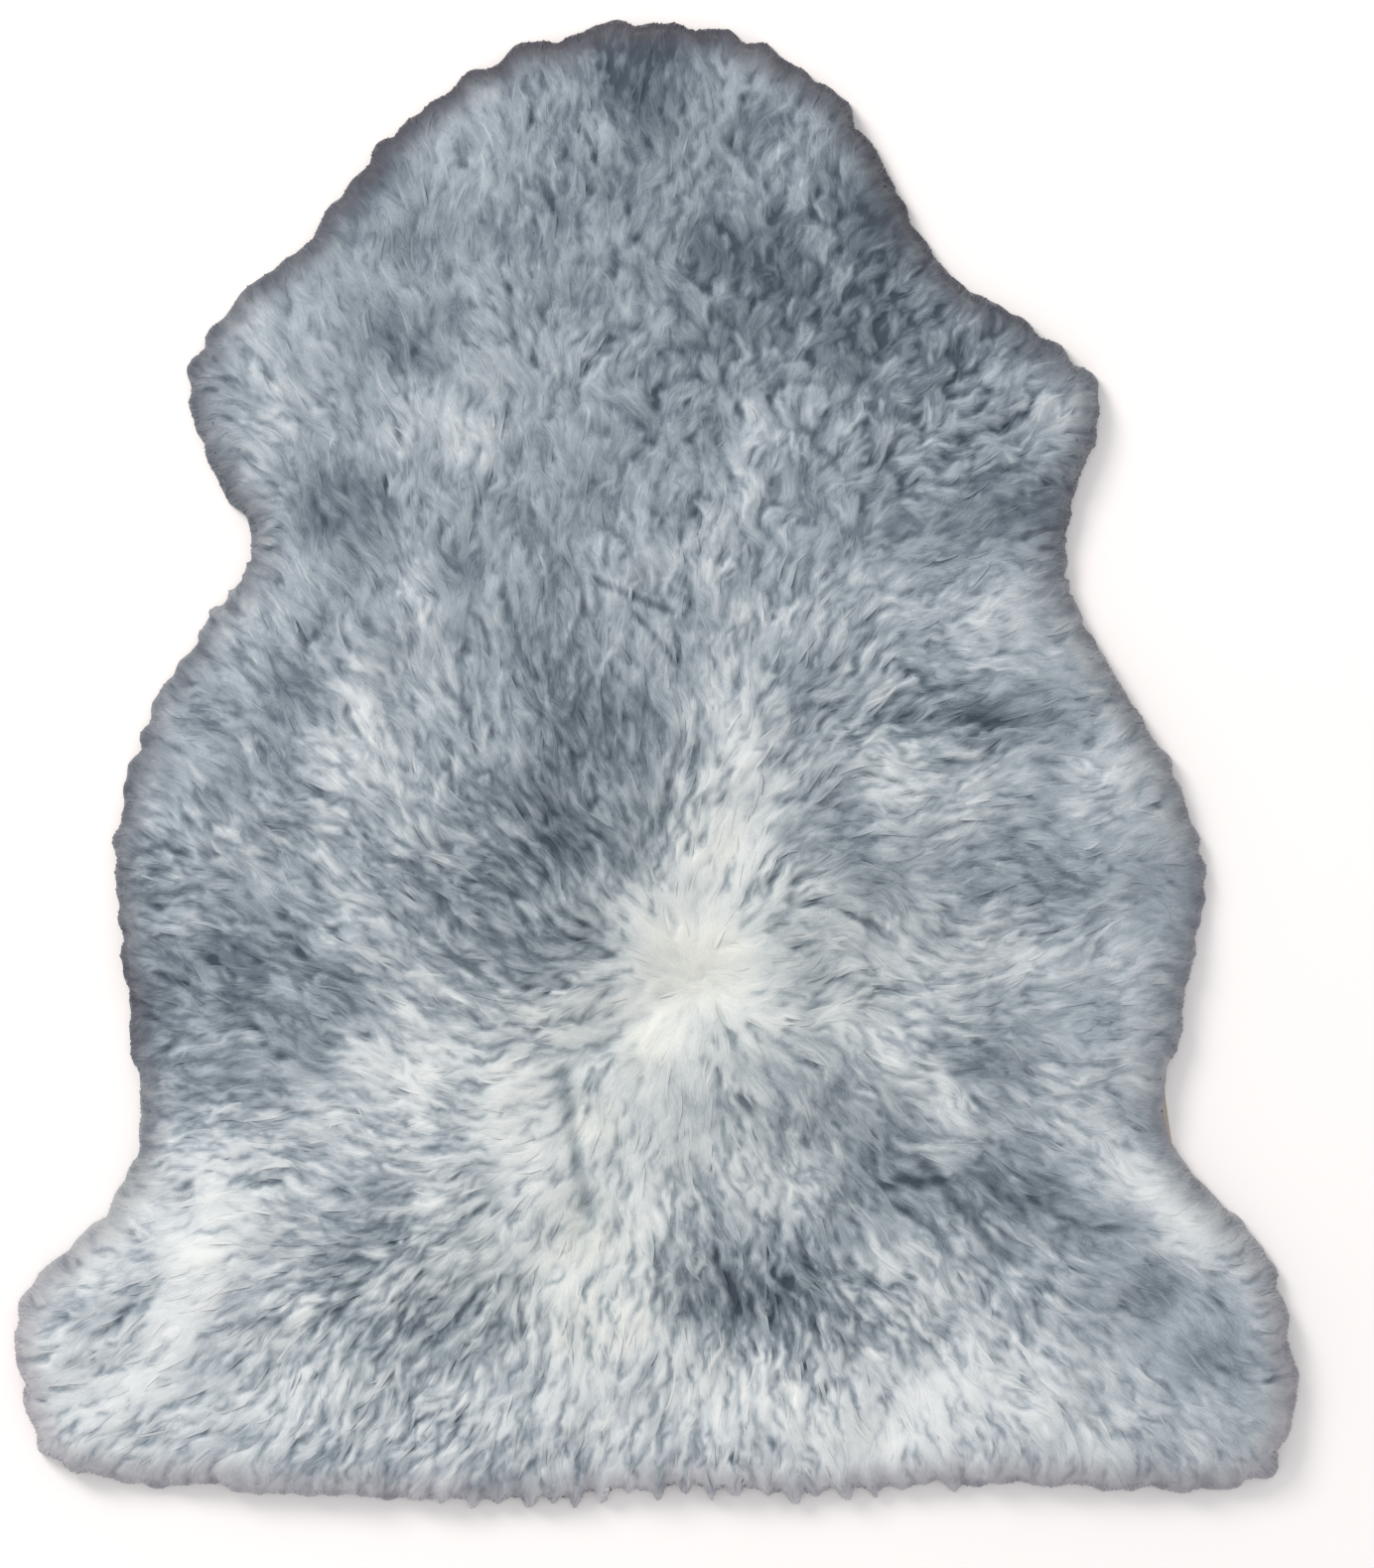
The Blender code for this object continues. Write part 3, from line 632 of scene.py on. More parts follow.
@dataclass
class Pile:
    """How the wool lies, place by place: which way it points, how curly it is, its tone and its creases.

    Attributes:
        envelope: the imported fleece's fields.
        contrast: how strongly the patches show.
        patch_narrow: how fast they fall from their middles.
        rim_share: how far it has turned at the silhouette, as a share.
        middle_tone: the tone between the patches.
        tail_paler: how much paler it is towards the tail.
        neck_darker: how much darker it is towards the neck.
        palest: the highest tone.
        flattening: how much of its forward lean the wool on the right loses, far from the back's line.
        flat_from: how far right of that line it loses it.
        ahead_from: how far ahead of the whorl it does.
        curl_narrow: how fast the curly wool goes over into the rest.
        whorl_noise: wavelength, seed, radius and strength of the noise that ruffles the whorl's middle.
        tail_steady: how much less the wool is turned by noise towards the tail, and where from and to.
        calm_drop: how much less the wool parts into locks at the whorl.
        calm_reach: the radius of that.
        busy_drift: the noise by which calm and busy wool alternate.
        busy_swing: its middle and how far it swings.
        busy_limits: the least and the most of it.
        busy_neck: how much calmer the wool is towards the neck.
        busy_least: the least that BUSY makes of a place.
        busy_pale: how much calmer the palest wool is.
    """

    envelope: Envelope
    contrast: float = 1.2
    patch_narrow: float = 0.8
    turn_from: Pair = (42 * MM, 6 * MM)
    rim_share: float = 0.65
    middle_tone: float = 0.51
    tail_paler: float = 0.15
    tail_from: Pair = (-0.12, -0.40)
    neck_darker: float = 0.11
    neck_from: Pair = (0.10, 0.19)
    palest: float = 0.93
    flattening: float = 0.84
    flat_from: Pair = (5 * MM, 120 * MM)
    ahead_from: Pair = (0.0, 40 * MM)
    curl_narrow: float = 1.3
    whorl_noise: tuple[float, int, float, float] = (13 * MM, 14, 26 * MM, 0.9)
    tail_steady: tuple[float, float, float] = (0.4, -0.20, -0.38)
    calm_drop: float = 0.8
    calm_reach: float = 52 * MM
    busy_drift: SmoothNoise = SmoothNoise(50 * MM, 67)
    busy_swing: Pair = (0.9, 0.3)
    busy_limits: Pair = (0.5, 1.2)
    busy_neck: float = 0.15
    busy_neck_from: Pair = (0.10, 0.22)
    busy_least: float = 0.25
    busy_pale: float = 0.4
    busy_pale_from: Pair = (0.66, 0.9)

    def curliness(self, points: Array) -> Array:
        """How curly the wool is, from 0 to 1: a bell over the right shoulder and the nape."""
        return bell(points, *CURLY, narrow=self.curl_narrow)

    def calm(self, points: Array) -> Array:
        """How far the wool parts into locks, by its distance from the whorl: little there, up to 1."""
        return 1 - self.calm_drop * np.exp(-((from_whorl(points) / self.calm_reach) ** 2))

    def flow(self, points: Array) -> Array:
        """The way the wool points: away from the whorl, turning square to the silhouette near it.

        Ahead of the whorl and right of the back's line it leans forward less, as it was combed sideways.
        Layers of noise and the combed places turn it to and fro.

        Args:
            points: level points, one a row.

        Returns:
            Level unit vectors.
        """
        env = self.envelope
        back = np.array([math.cos(BACK_TURN), math.sin(BACK_TURN)])
        away = points - WHORL
        along, across = away @ back, away @ np.array([back[1], -back[0]])
        lost = self.flattening * smoothstep(*self.flat_from, across) * smoothstep(*self.ahead_from, along)
        away = away - back * (along * lost)[:, None]
        share = self.rim_share * smoothstep(*self.turn_from, env.depth(points))[:, None]
        way = unit(unit(away) * (1 - share) + env.out(points) * share)
        curl = self.curliness(points)
        angle = np.zeros(len(points))
        for wavelength, seed, turn, more in TURNS:
            angle += (turn + more * curl) * SmoothNoise(wavelength * MM, seed).at(points)
        wavelength, seed, reach, turn = self.whorl_noise
        near_whorl = np.exp(-((from_whorl(points) / reach) ** 2))
        angle += turn * near_whorl * SmoothNoise(wavelength, seed).at(points)
        for _, *ellipse, turn in COMBED:
            angle += math.radians(turn) * bell(points, *ellipse)
        steady, start, end = self.tail_steady
        angle *= 1 - steady * smoothstep(start, end, points[:, 1])
        return turned(way, angle * (1 - 0.5 * share[:, 0]))

    def tone(self, points: Array) -> tuple[Array, Array]:
        """The wool's grey and warmth: a level that brightens to the tail, the patches, and fine mottling.

        Args:
            points: level points, one a row.

        Returns:
            Tone, from 0 slate to 1 white, and cream, from 0 to 1.
        """
        moved = points + sum(
            reach * MM * np.stack([SmoothNoise(wavelength * MM, seed).at(points) for seed in seeds], axis=1)
            for wavelength, seeds, reach in WARPS
        )
        tone = self.middle_tone + self.tail_paler * smoothstep(*self.tail_from, moved[:, 1])
        tone -= self.neck_darker * smoothstep(*self.neck_from, moved[:, 1])
        cream = np.zeros(len(points))
        for x, y, half_x, half_y, change, *rest in chain.from_iterable(PATCHES.values()):
            warmth, turn = (*rest, 0, 0)[:2]
            patch = bell(moved, x, y, half_x, half_y, turn, self.patch_narrow)
            tone += self.contrast * change * patch
            cream = np.maximum(cream, warmth * patch)
        tone += sum(change * SmoothNoise(length * MM, seed).at(points) for length, seed, change in MOTTLES)
        return np.minimum(tone, self.palest), cream

    def busy(self, points: Array, tone: Array) -> Array:
        """How strongly the wool parts into locks: unevenly, place by place, and less where it is pale."""
        middle, swing = self.busy_swing
        drift = np.clip(middle + swing * self.busy_drift.at(points), *self.busy_limits)
        drift *= 1 - self.busy_neck * smoothstep(*self.busy_neck_from, points[:, 1])
        share = np.ones(len(points))
        for _, *ellipse, more in BUSY:
            share += more * bell(points, *ellipse)
        pale = 1 - self.busy_pale * smoothstep(*self.busy_pale_from, tone)
        return drift * np.maximum(share, self.busy_least) * pale

    def drop(self, points: Array) -> Array:
        """How much lower the pile lies in the creases: a bell-shaped valley along each of them."""
        drop = np.zeros(len(points))
        for _, x1, y1, x2, y2, depth, half_width in CREASES:
            start, end = np.array([x1, y1]) * MM, np.array([x2, y2]) * MM
            side = end - start
            share = np.clip((points - start) @ side / (side @ side), 0, 1)
            away = np.linalg.norm(points - start - share[:, None] * side, axis=1)
            drop += depth * MM * np.exp(-((away / (half_width * MM)) ** 2))
        return drop


def linear(code: str) -> tuple[float, float, float, float]:
    """A colour written as sRGB hex digits, turned to linear light.

    Args:
        code: six hex digits.

    Returns:
        Red, green, blue and an alpha of 1.
    """
    parts = [int(code[i : i + 2], 16) / 255 for i in (0, 2, 4)]
    light = [p / 12.92 if p <= 0.04045 else ((p + 0.055) / 1.055) ** 2.4 for p in parts]
    return (*light, 1.0)


def add_node(
    tree: bpy.types.NodeTree, kind: str, settings: dict | None = None, links: dict | None = None
) -> bpy.types.Node:
    """Adds one shader node.

    Args:
        tree: the material's or world's node tree.
        kind: the node's type, without the words that all start with.
        settings: values by name, of the node's own properties or else of its input sockets.
        links: output sockets by the name or number of the input that they feed.

    Returns:
        The new node.
    """
    made = tree.nodes.new("ShaderNode" + kind)
    for name, value in (settings or {}).items():
        if isinstance(name, str) and hasattr(made, name):
            setattr(made, name, value)
        else:
            made.inputs[name].default_value = value
    for name, source in (links or {}).items():
        tree.links.new(source, made.inputs[name])
    return made


def new_material(name: str) -> tuple[bpy.types.Material, bpy.types.NodeTree]:
    """A material with an empty node tree."""
    material = bpy.data.materials.new(name)
    material.use_nodes = True
    material.node_tree.nodes.clear()
    return material, material.node_tree


@dataclass(frozen=True)
class DyedWool:
    """Long sheep's wool, washed, dyed at the tips and combed.

    The fibres scatter light softly, with no gloss but a faint sheen along their length. The dye leaves slate
    tips on pale roots. Real fibres are 0.03 mm across and would not show, so they are drawn fibre_width wide.

    Attributes:
        name: the material's name.
        tones: the colour at each tone, from slate tips to pale roots.
        cream: what the whorl's undyed wool is multiplied by.
        rim: the darker, warmer grey at the edge, where little light gets in.
        blush: the pinkish grey along the tail's and the right side's edge.
        roughness: how matt it is.
        sheen: the faint shine where fibres are seen along their length.
        sheen_roughness: how wide that shine is.
        fibre_width: how wide a drawn fibre is.
        fibre_length: how long it is.
        fibre_tone: how much its tone swings.
        bump_distance: how high it stands.
    """

    name: str = "combed_dyed_wool"
    tones: tuple[tuple[float, str], ...] = (
        (0.00, "3f4a55"),
        (0.25, "6c7781"),
        (0.50, "9ba5ad"),
        (0.75, "c8ced2"),
        (1.00, "e6e9e8"),
    )
    cream: str = "f8f7ef"
    rim: str = "403e47"
    blush: str = "b3a8b0"
    roughness: float = 0.9
    sheen: float = 0.25
    sheen_roughness: float = 0.5
    fibre_width: float = 1.1 * MM
    fibre_length: float = 16 * MM
    fibre_tone: float = 0.27
    bump_distance: float = 0.2 * MM

    def material(self) -> bpy.types.Material:
        """Reads tone, cream, rim and blush from the mesh, and draws fibres with noise along the locks.

        Returns:
            The wool's material.
        """
        material, tree = new_material(self.name)
        add = partial(add_node, tree)
        uv = add("UVMap", {"uv_map": "fibre"})
        stretch = (1 / self.fibre_width, 1 / self.fibre_length, 1)
        place = add("VectorMath", {"operation": "MULTIPLY", 1: stretch}, {0: uv.outputs["UV"]})
        noise = {"noise_dimensions": "2D", "Scale": 1.0, "Detail": 2.0}
        fibres = add("TexNoise", noise, {"Vector": place.outputs[0]})
        swing = {"operation": "MULTIPLY_ADD", 1: self.fibre_tone, 2: -self.fibre_tone / 2}
        swing = add("Math", swing, {0: fibres.outputs[0]})
        names = ({"attribute_name": name} for name in ("tone", "cream", "rim", "blush"))
        tone, cream, rim, blush = (add("Attribute", name).outputs["Fac"] for name in names)
        mixed = add("Math", {"operation": "ADD"}, {0: tone, 1: swing.outputs[0]})
        ramp = add("ValToRGB", {}, {"Fac": mixed.outputs[0]})
        stops = ramp.color_ramp.elements
        while len(stops) < len(self.tones):
            stops.new(0.5)
        for stop, (position, code) in zip(stops, self.tones):
            stop.position, stop.color = position, linear(code)
        colour = ramp.outputs[0]
        for way, code, share in (
            ("MULTIPLY", self.cream, cream),
            # rim: painted shade, a darker grey mixed in towards the edge
            ("MIX", self.rim, rim),
            ("MIX", self.blush, blush),
        ):
            blend = {"data_type": "RGBA", "blend_type": way, 7: linear(code)}
            colour = add("Mix", blend, {0: share, 6: colour}).outputs[2]
        bump = add("Bump", {"Strength": 0.5, "Distance": self.bump_distance}, {"Height": fibres.outputs[0]})
        finish = {
            "Roughness": self.roughness,
            "Sheen Weight": self.sheen,
            "Sheen Roughness": self.sheen_roughness,
            "Specular IOR Level": 0.2,
        }
        shader = add("BsdfPrincipled", finish, {"Base Color": colour, "Normal": bump.outputs[0]})
        add("OutputMaterial", {}, {"Surface": shader.outputs[0]})
        return material


@dataclass(frozen=True)
class SuedeHide:
    """Tanned sheep hide, flesh side down: buffed suede, with the grain's creases left in it.

    It is matt, a little darker where the nap lies the other way, and it has a raw cut edge.

    Attributes:
        name: the material's name.
        light: its colour where the nap stands.
        dark: its colour where the nap lies the other way.
        nap: the nap's grit, drawn as coarse as it shows, and its height.
        blotch: how far apart light and dark places lie.
        wrinkle: the creases' spacing.
    """

    name: str = "tanned_suede_hide"
    light: str = "beb4a8"
    dark: str = "a1968a"
    nap: float = 0.8 * MM
    blotch: float = 60 * MM
    wrinkle: float = 14 * MM

    def material(self) -> bpy.types.Material:
        """Blotches and nap from noise on Object coordinates, with wrinkles and nap as bump.

        Returns:
            The hide's material.
        """
        material, tree = new_material(self.name)
        add = partial(add_node, tree)
        place = {"Vector": add("TexCoord").outputs["Object"]}
        blotches = add("TexNoise", {"Scale": 1 / self.blotch, "Detail": 4.0}, place)
        wrinkles = add("TexNoise", {"Scale": 1 / self.wrinkle, "Detail": 3.0, "Distortion": 0.8}, place)
        nap = add("TexNoise", {"Scale": 1 / self.nap, "Detail": 3.0}, place).outputs[0]
        mixed = add("Math", {"operation": "MULTIPLY_ADD", 1: 0.35}, {0: nap, 2: blotches.outputs[0]})
        share = add("MapRange", {"From Min": 0.45, "From Max": 0.9}, {"Value": mixed.outputs[0]})
        blend = {"data_type": "RGBA", 6: linear(self.dark), 7: linear(self.light)}
        colour = add("Mix", blend, {0: share.outputs[0]})
        height = add("Math", {"operation": "MULTIPLY_ADD", 1: 0.25}, {0: nap, 2: wrinkles.outputs[0]})
        bump = add("Bump", {"Strength": 0.6, "Distance": self.nap}, {"Height": height.outputs[0]})
        finish = {"Roughness": 0.92, "Sheen Weight": 0.15, "Specular IOR Level": 0.25}
        shader = add("BsdfPrincipled", finish, {"Base Color": colour.outputs[2], "Normal": bump.outputs[0]})
        add("OutputMaterial", {}, {"Surface": shader.outputs[0]})
        return material


def new_piece(name: str, points: Array, faces: list[Array], material: bpy.types.Material) -> bpy.types.Object:
    """Makes a smooth-shaded mesh object.

    Args:
        name: the piece's name.
        points: its points, one a row.
        faces: blocks of faces, each an array with one face a row.
        material: its material.

    Returns:
        The object, linked to the scene.
    """
    mesh = bpy.data.meshes.new(name)
    sizes = np.concatenate([np.full(len(block), block.shape[1]) for block in faces])
    corners = np.concatenate([block.ravel() for block in faces])
    mesh.vertices.add(len(points))
    mesh.vertices.foreach_set("co", points.astype(np.float32).ravel())
    mesh.loops.add(len(corners))
    mesh.loops.foreach_set("vertex_index", corners.astype(np.int32))
    mesh.polygons.add(len(sizes))
    starts = np.concatenate([[0], np.cumsum(sizes)[:-1]])
    mesh.polygons.foreach_set("loop_start", starts.astype(np.int32))
    mesh.update(calc_edges=True)
    mesh.validate()
    mesh.shade_smooth()
    mesh.materials.append(material)
    piece = bpy.data.objects.new(name, mesh)
    bpy.context.scene.collection.objects.link(piece)
    return piece


def set_values(piece: bpy.types.Object, name: str, values: Array) -> None:
    """Gives each of a piece's points a number, which its material reads by that name."""
    attribute = piece.data.attributes.new(name, "FLOAT", "POINT")
    attribute.data.foreach_set("value", values.astype(np.float32).ravel())


def polar_shell(count: int, total: int) -> list[Array]:
    """Faces of a closed shell on a polar grid, outwards over the top and back to the middle below.

    The points are the top's pole, the rings in that order, and the bottom's pole.

    Args:
        count: points in a ring.
        total: rings, the top's and the bottom's.

    Returns:
        The triangles at both poles, and the quads between the rings.
    """
    around = np.arange(count)
    ahead = (around + 1) % count
    first = np.stack([np.zeros(count, int), 1 + around, 1 + ahead], axis=1)
    ring = (1 + count * np.arange(total - 1))[:, None]
    quads = np.stack([ring + around, ring + count + around, ring + count + ahead, ring + ahead], axis=-1)
    last_ring, pole = 1 + count * (total - 1), 1 + count * total
    last = np.stack([last_ring + around, np.full(count, pole), last_ring + ahead], axis=1)
    return [np.vstack([first, last]), quads.reshape(-1, 4)]


@dataclass
class Hide:
    """The tanned skin below the wool, as a thin sheet with a raw cut edge.

    Attributes:
        finish: its suede.
        directions: points around its edge.
        rings: points from its middle to its edge.
        bevel: how much less far its upper face reaches than its lower one.
    """

    finish: SuedeHide = field(default_factory=SuedeHide)
    directions: int = 720
    rings: int = 6
    bevel: float = 0.3 * MM

    def angles(self) -> Array:
        """Equal turns around the centre, anticlockwise."""
        return np.linspace(0, 2 * math.pi, self.directions, endpoint=False)

    def face(self, reach: Array, shares: Array, height: float) -> list[Array]:
        """One level face's rings of points: shares of its reach in each direction."""
        way = ways_at(self.angles())
        return [np.column_stack([way * (reach * s)[:, None], np.full(len(way), height)]) for s in shares]

    def build(self) -> bpy.types.Object:
        """Makes the sheet: two level faces, joined at an edge that leans in a little.

        Returns:
            The hide's piece.
        """
        low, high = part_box("hide")
        reach = hide_reach(self.angles())
        shares = np.linspace(0, 1, self.rings + 1)[1:]
        rings = self.face(reach - self.bevel, shares, high.z) + self.face(reach, shares[::-1], low.z)
        points = np.vstack([[[0, 0, high.z]], *rings, [[0, 0, low.z]]])
        points[:, :2] += CENTRE
        faces = polar_shell(self.directions, len(rings))
        return new_piece("hide_suede", points, faces, self.finish.material())

    def flat_area(self) -> float:
        """The sheet's flat area: triangles from the centre to each stretch of the edge, added."""
        reach = hide_reach(self.angles())
        return float(0.5 * math.sin(2 * math.pi / self.directions) * (reach * np.roll(reach, -1)).sum())


@dataclass
class Rim:
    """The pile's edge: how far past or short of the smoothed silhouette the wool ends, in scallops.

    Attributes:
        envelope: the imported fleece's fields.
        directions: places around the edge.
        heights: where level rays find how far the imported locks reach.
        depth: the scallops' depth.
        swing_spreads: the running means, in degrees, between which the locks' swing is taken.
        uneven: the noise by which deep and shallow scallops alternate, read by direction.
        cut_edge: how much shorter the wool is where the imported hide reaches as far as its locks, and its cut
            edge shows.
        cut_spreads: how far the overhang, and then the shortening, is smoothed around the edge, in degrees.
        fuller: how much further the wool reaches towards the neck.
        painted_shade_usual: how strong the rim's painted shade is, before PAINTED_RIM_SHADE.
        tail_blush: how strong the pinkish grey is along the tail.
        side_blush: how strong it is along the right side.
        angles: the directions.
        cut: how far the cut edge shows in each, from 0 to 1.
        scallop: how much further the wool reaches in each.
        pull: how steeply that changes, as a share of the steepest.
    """

    envelope: Envelope
    directions: int = 1440
    heights: tuple[float, ...] = (1.5 * MM, 3 * MM, 5 * MM, 8 * MM)
    depth: float = 4.5 * MM
    swing_spreads: Pair = (3.0, 0.35)
    uneven: SmoothNoise = SmoothNoise(0.16, 57)
    cut_edge: float = 5.8 * MM
    cut_from: Pair = (3.2 * MM, -1.4 * MM)
    cut_spreads: Pair = (0.8, 1.1)
    fuller: float = 3.0 * MM
    painted_shade_usual: float = 0.35
    painted_shade_from: Pair = (31 * MM, 2 * MM)
    tail_blush: float = 0.42
    tail_from: Pair = (-0.28, -0.43)
    tail_in_from: Pair = (28 * MM, 1 * MM)
    side_blush: float = 0.25
    side_in_from: Pair = (9 * MM, 1 * MM)
    angles: Array = field(init=False)
    cut: Array = field(init=False)
    scallop: Array = field(init=False)
    pull: Array = field(init=False)

    def __post_init__(self) -> None:
        """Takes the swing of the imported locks' reach about a running mean, and makes scallops of it."""
        self.angles = np.linspace(-math.pi, math.pi, self.directions, endpoint=False)
        way = ways_at(self.angles)
        reach = self.reach(way)
        overhang = self.smoothed(reach - hide_reach(self.angles), self.cut_spreads[0])
        swing = self.smoothed(reach - self.smoothed(reach, self.swing_spreads[0]), self.swing_spreads[1])
        swing = np.clip(swing / np.percentile(np.abs(swing), 90), -1, 1)
        tail = np.clip(-way[:, 1], 0, 1) ** 3
        swing += tail * np.maximum(swing, 0) ** 2
        uneven = 0.5 + 0.5 * self.uneven.at(np.column_stack([self.angles, self.angles])) + tail
        self.cut = self.smoothed(smoothstep(*self.cut_from, overhang), self.cut_spreads[1])
        self.scallop = swing * uneven * self.depth / 2 - self.cut_edge * self.cut
        slope = np.gradient(self.scallop)
        self.pull = slope / np.abs(slope).max()

    def reach(self, ways: Array) -> Array:
        """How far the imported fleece's locks reach from CENTRE in each direction, by rays from outside."""
        tree = tree_of("fleece")
        reach = np.zeros(len(ways))
        for row, (x, y) in enumerate(ways):
            for height in self.heights:
                start = Vector((CENTRE[0] + x, CENTRE[1] + y, height))
                place = tree.ray_cast(start, Vector((-x, -y, 0)))[0]
                if place:
                    reach[row] = max(reach[row], math.hypot(place.x - CENTRE[0], place.y - CENTRE[1]))
        return reach

    def smoothed(self, values: Array, spread_deg: float) -> Array:
        """A bell-shaped running mean around the edge."""
        turns = np.fft.fftfreq(self.directions, 2 * math.pi / self.directions)
        kept = np.exp(-2 * (math.pi * math.radians(spread_deg) * turns) ** 2)
        return np.fft.ifft(np.fft.fft(values) * kept).real

    def around(self, values: Array, points: Array) -> Array:
        """Reads values kept by direction at level points."""
        away = points - CENTRE
        return np.interp(np.arctan2(away[:, 1], away[:, 0]), self.angles, values, period=2 * math.pi)

    def spare(self, points: Array) -> Array:
        """How far inside the scalloped edge level points lie, negative outside it."""
        env = self.envelope
        out = env.out(points)
        square = np.abs((out * unit(points - CENTRE)).sum(axis=1))
        fuller = self.fuller * np.clip(out @ np.array(NECK_WAY), 0, 1)
        return env.depth(points) + self.around(self.scallop, points) * square + fuller

    def tint(self, points: Array) -> Array:
        """How strongly wool there has the rim's painted shade, more on the sides PAINTED_RIM_SHADE darkens,
        from 0 to 1.
        """
        away = points - CENTRE
        turn = np.degrees(np.arctan2(away[:, 1], away[:, 0])) % 360
        strength = self.painted_shade_usual + sum(
            more * np.exp(-(((turn - middle) / half) ** 2)) for _, middle, half, more in PAINTED_RIM_SHADE
        )
        return strength * smoothstep(*self.painted_shade_from, self.spare(points))

    def blush(self, points: Array) -> Array:
        """How far wool there has the pinkish grey of the tail's and the right side's edge, from 0 to 1."""
        spare = self.spare(points)
        tail = smoothstep(*self.tail_from, points[:, 1]) * smoothstep(*self.tail_in_from, spare)
        right = np.clip(unit(points - CENTRE)[:, 0], 0, 1) ** 2 * smoothstep(*self.side_in_from, spare)
        return np.maximum(self.tail_blush * tail, self.side_blush * right)

    def drawn(self, points: Array, share: Array) -> Array:
        """Level points moved along the edge towards the middle of their scallop, by a share of its width."""
        side = leftward(self.envelope.out(points))
        return points + side * (self.around(self.pull, points) * share)[:, None] * self.depth


@dataclass(frozen=True)
class Partings:
    """Short dark partings, where the combed wool opens between its locks and lies lower: their darkness is
    painted shade.

    Attributes:
        pitch: how far apart they are, where none is left out.
        seed: which chances.
        steps: points along one of them.
        lengths: the shortest and the longest.
        half_width: half their greatest width.
        drift: the noise by which they gather in drifts.
        likely: how likely one is, and how far that swings with the drifts.
        depth: how deep they are.
        dark: how much painted shade lowers the tone in them, as a share of it.
        soft: how far a softer painted shade darkens the wool beside them.
        bare: none is nearer to the whorl.
        wave: how far one swings to and fro, in radians.
        bend: how far one turns between its middle and its ends, as a normal spread.
        blur: how far they are smoothed, as a share of the map's pitch.
    """

    pitch: float = 7.5 * MM
    seed: int = 71
    steps: int = 24
    lengths: Pair = (10 * MM, 24 * MM)
    half_width: float = 1.1 * MM
    drift: SmoothNoise = SmoothNoise(26 * MM, 51)
    likely: Pair = (0.56, 0.65)
    pale_from: Pair = (0.70, 0.93)
    rim_from: Pair = (10 * MM, 30 * MM)
    depth: float = 0.9 * MM
    dark: float = 0.6
    soft: float = 2.4 * MM
    bare: float = 40 * MM
    wave: float = 0.42
    bend: float = 0.38
    blur: float = 0.55

    def drawn(self, pile: Pile, grid: LevelGrid, flow: Array, tone: Array) -> Array:
        """Draws them step by step along the way the wool lies, widest halfway.

        Args:
            pile: how the wool lies.
            grid: the map's grid.
            flow: the way the wool points at each corner.
            tone: the pile's tone there.

        Returns:
            How open the wool is at each corner, from 0 to 1.
        """
        rng = np.random.default_rng(self.seed)
        starts = grid.finer(self.pitch).points()
        starts += rng.uniform(-0.45, 0.45, starts.shape) * self.pitch
        base = tone[grid.nearest(starts)]
        busy = pile.busy(starts, base)
        usual, drifting = self.likely
        likely = (usual + drifting * self.drift.at(starts)) * busy
        likely *= 1 - 0.75 * smoothstep(*self.pale_from, base)
        likely *= 1 - 0.4 * pile.curliness(starts)
        likely *= smoothstep(*self.rim_from, pile.envelope.depth(starts))
        likely *= 1 - np.exp(-((from_whorl(starts) / self.bare) ** 4))
        kept = rng.random(len(starts)) < likely
        line = starts[kept]
        count = len(line)
        length = rng.uniform(*self.lengths, count) * (1 - 0.3 * pile.curliness(line))
        strength = rng.uniform(0.45, 1.0, count) * np.clip(0.6 + 0.4 * busy[kept], 0.6, 1.4)
        bend = rng.normal(0, self.bend, count)
        phase = rng.random(count)
        open_at = np.zeros(len(flow))
        for step in range(self.steps):
            share = (step + 0.5) / self.steps
            wave = self.wave * np.sin(2 * math.pi * (share + phase))
            way = turned(flow[grid.nearest(line)], bend * (2 * share - 1) + wave)
            line = line + way * (length / self.steps)[:, None]
            side = leftward(way) * self.half_width
            body = strength * math.sin(math.pi * share) ** 0.6
            for swing in (-1, 0, 1):
                corner = grid.nearest(line + side * swing)
                np.maximum.at(open_at, corner, body * (1 - 0.6 * abs(swing)))
        return grid.blurred(open_at.reshape(grid.shape), self.blur * grid.pitch)


@dataclass(frozen=True)
class Strands:
    """The combed top's fine strands: an array for each fact, with one value or row a strand.

    Attributes:
        roots: where they grow.
        wisp: their wisp's middle.
        lean: how far they lean from there towards their staple's middle.
        gather: how far they close up to their wisp's middle, as a share.
        length: how long they are.
        bend: how far they turn from root to tip, in radians.
        crimp: how far they swing to and fro, in radians.
        phase: where on that wave they start.
        calm: how far the wool parts, by its distance from the whorl.
        busy: how strongly it parts in all.
        lift: how high they lie.
        shade: how much paler they are.
        tip: how much darker their tips are.
    """

    roots: Array
    wisp: Array
    lean: Array
    gather: Array
    length: Array
    bend: Array
    crimp: Array
    phase: Array
    calm: Array
    busy: Array
    lift: Array
    shade: Array
    tip: Array


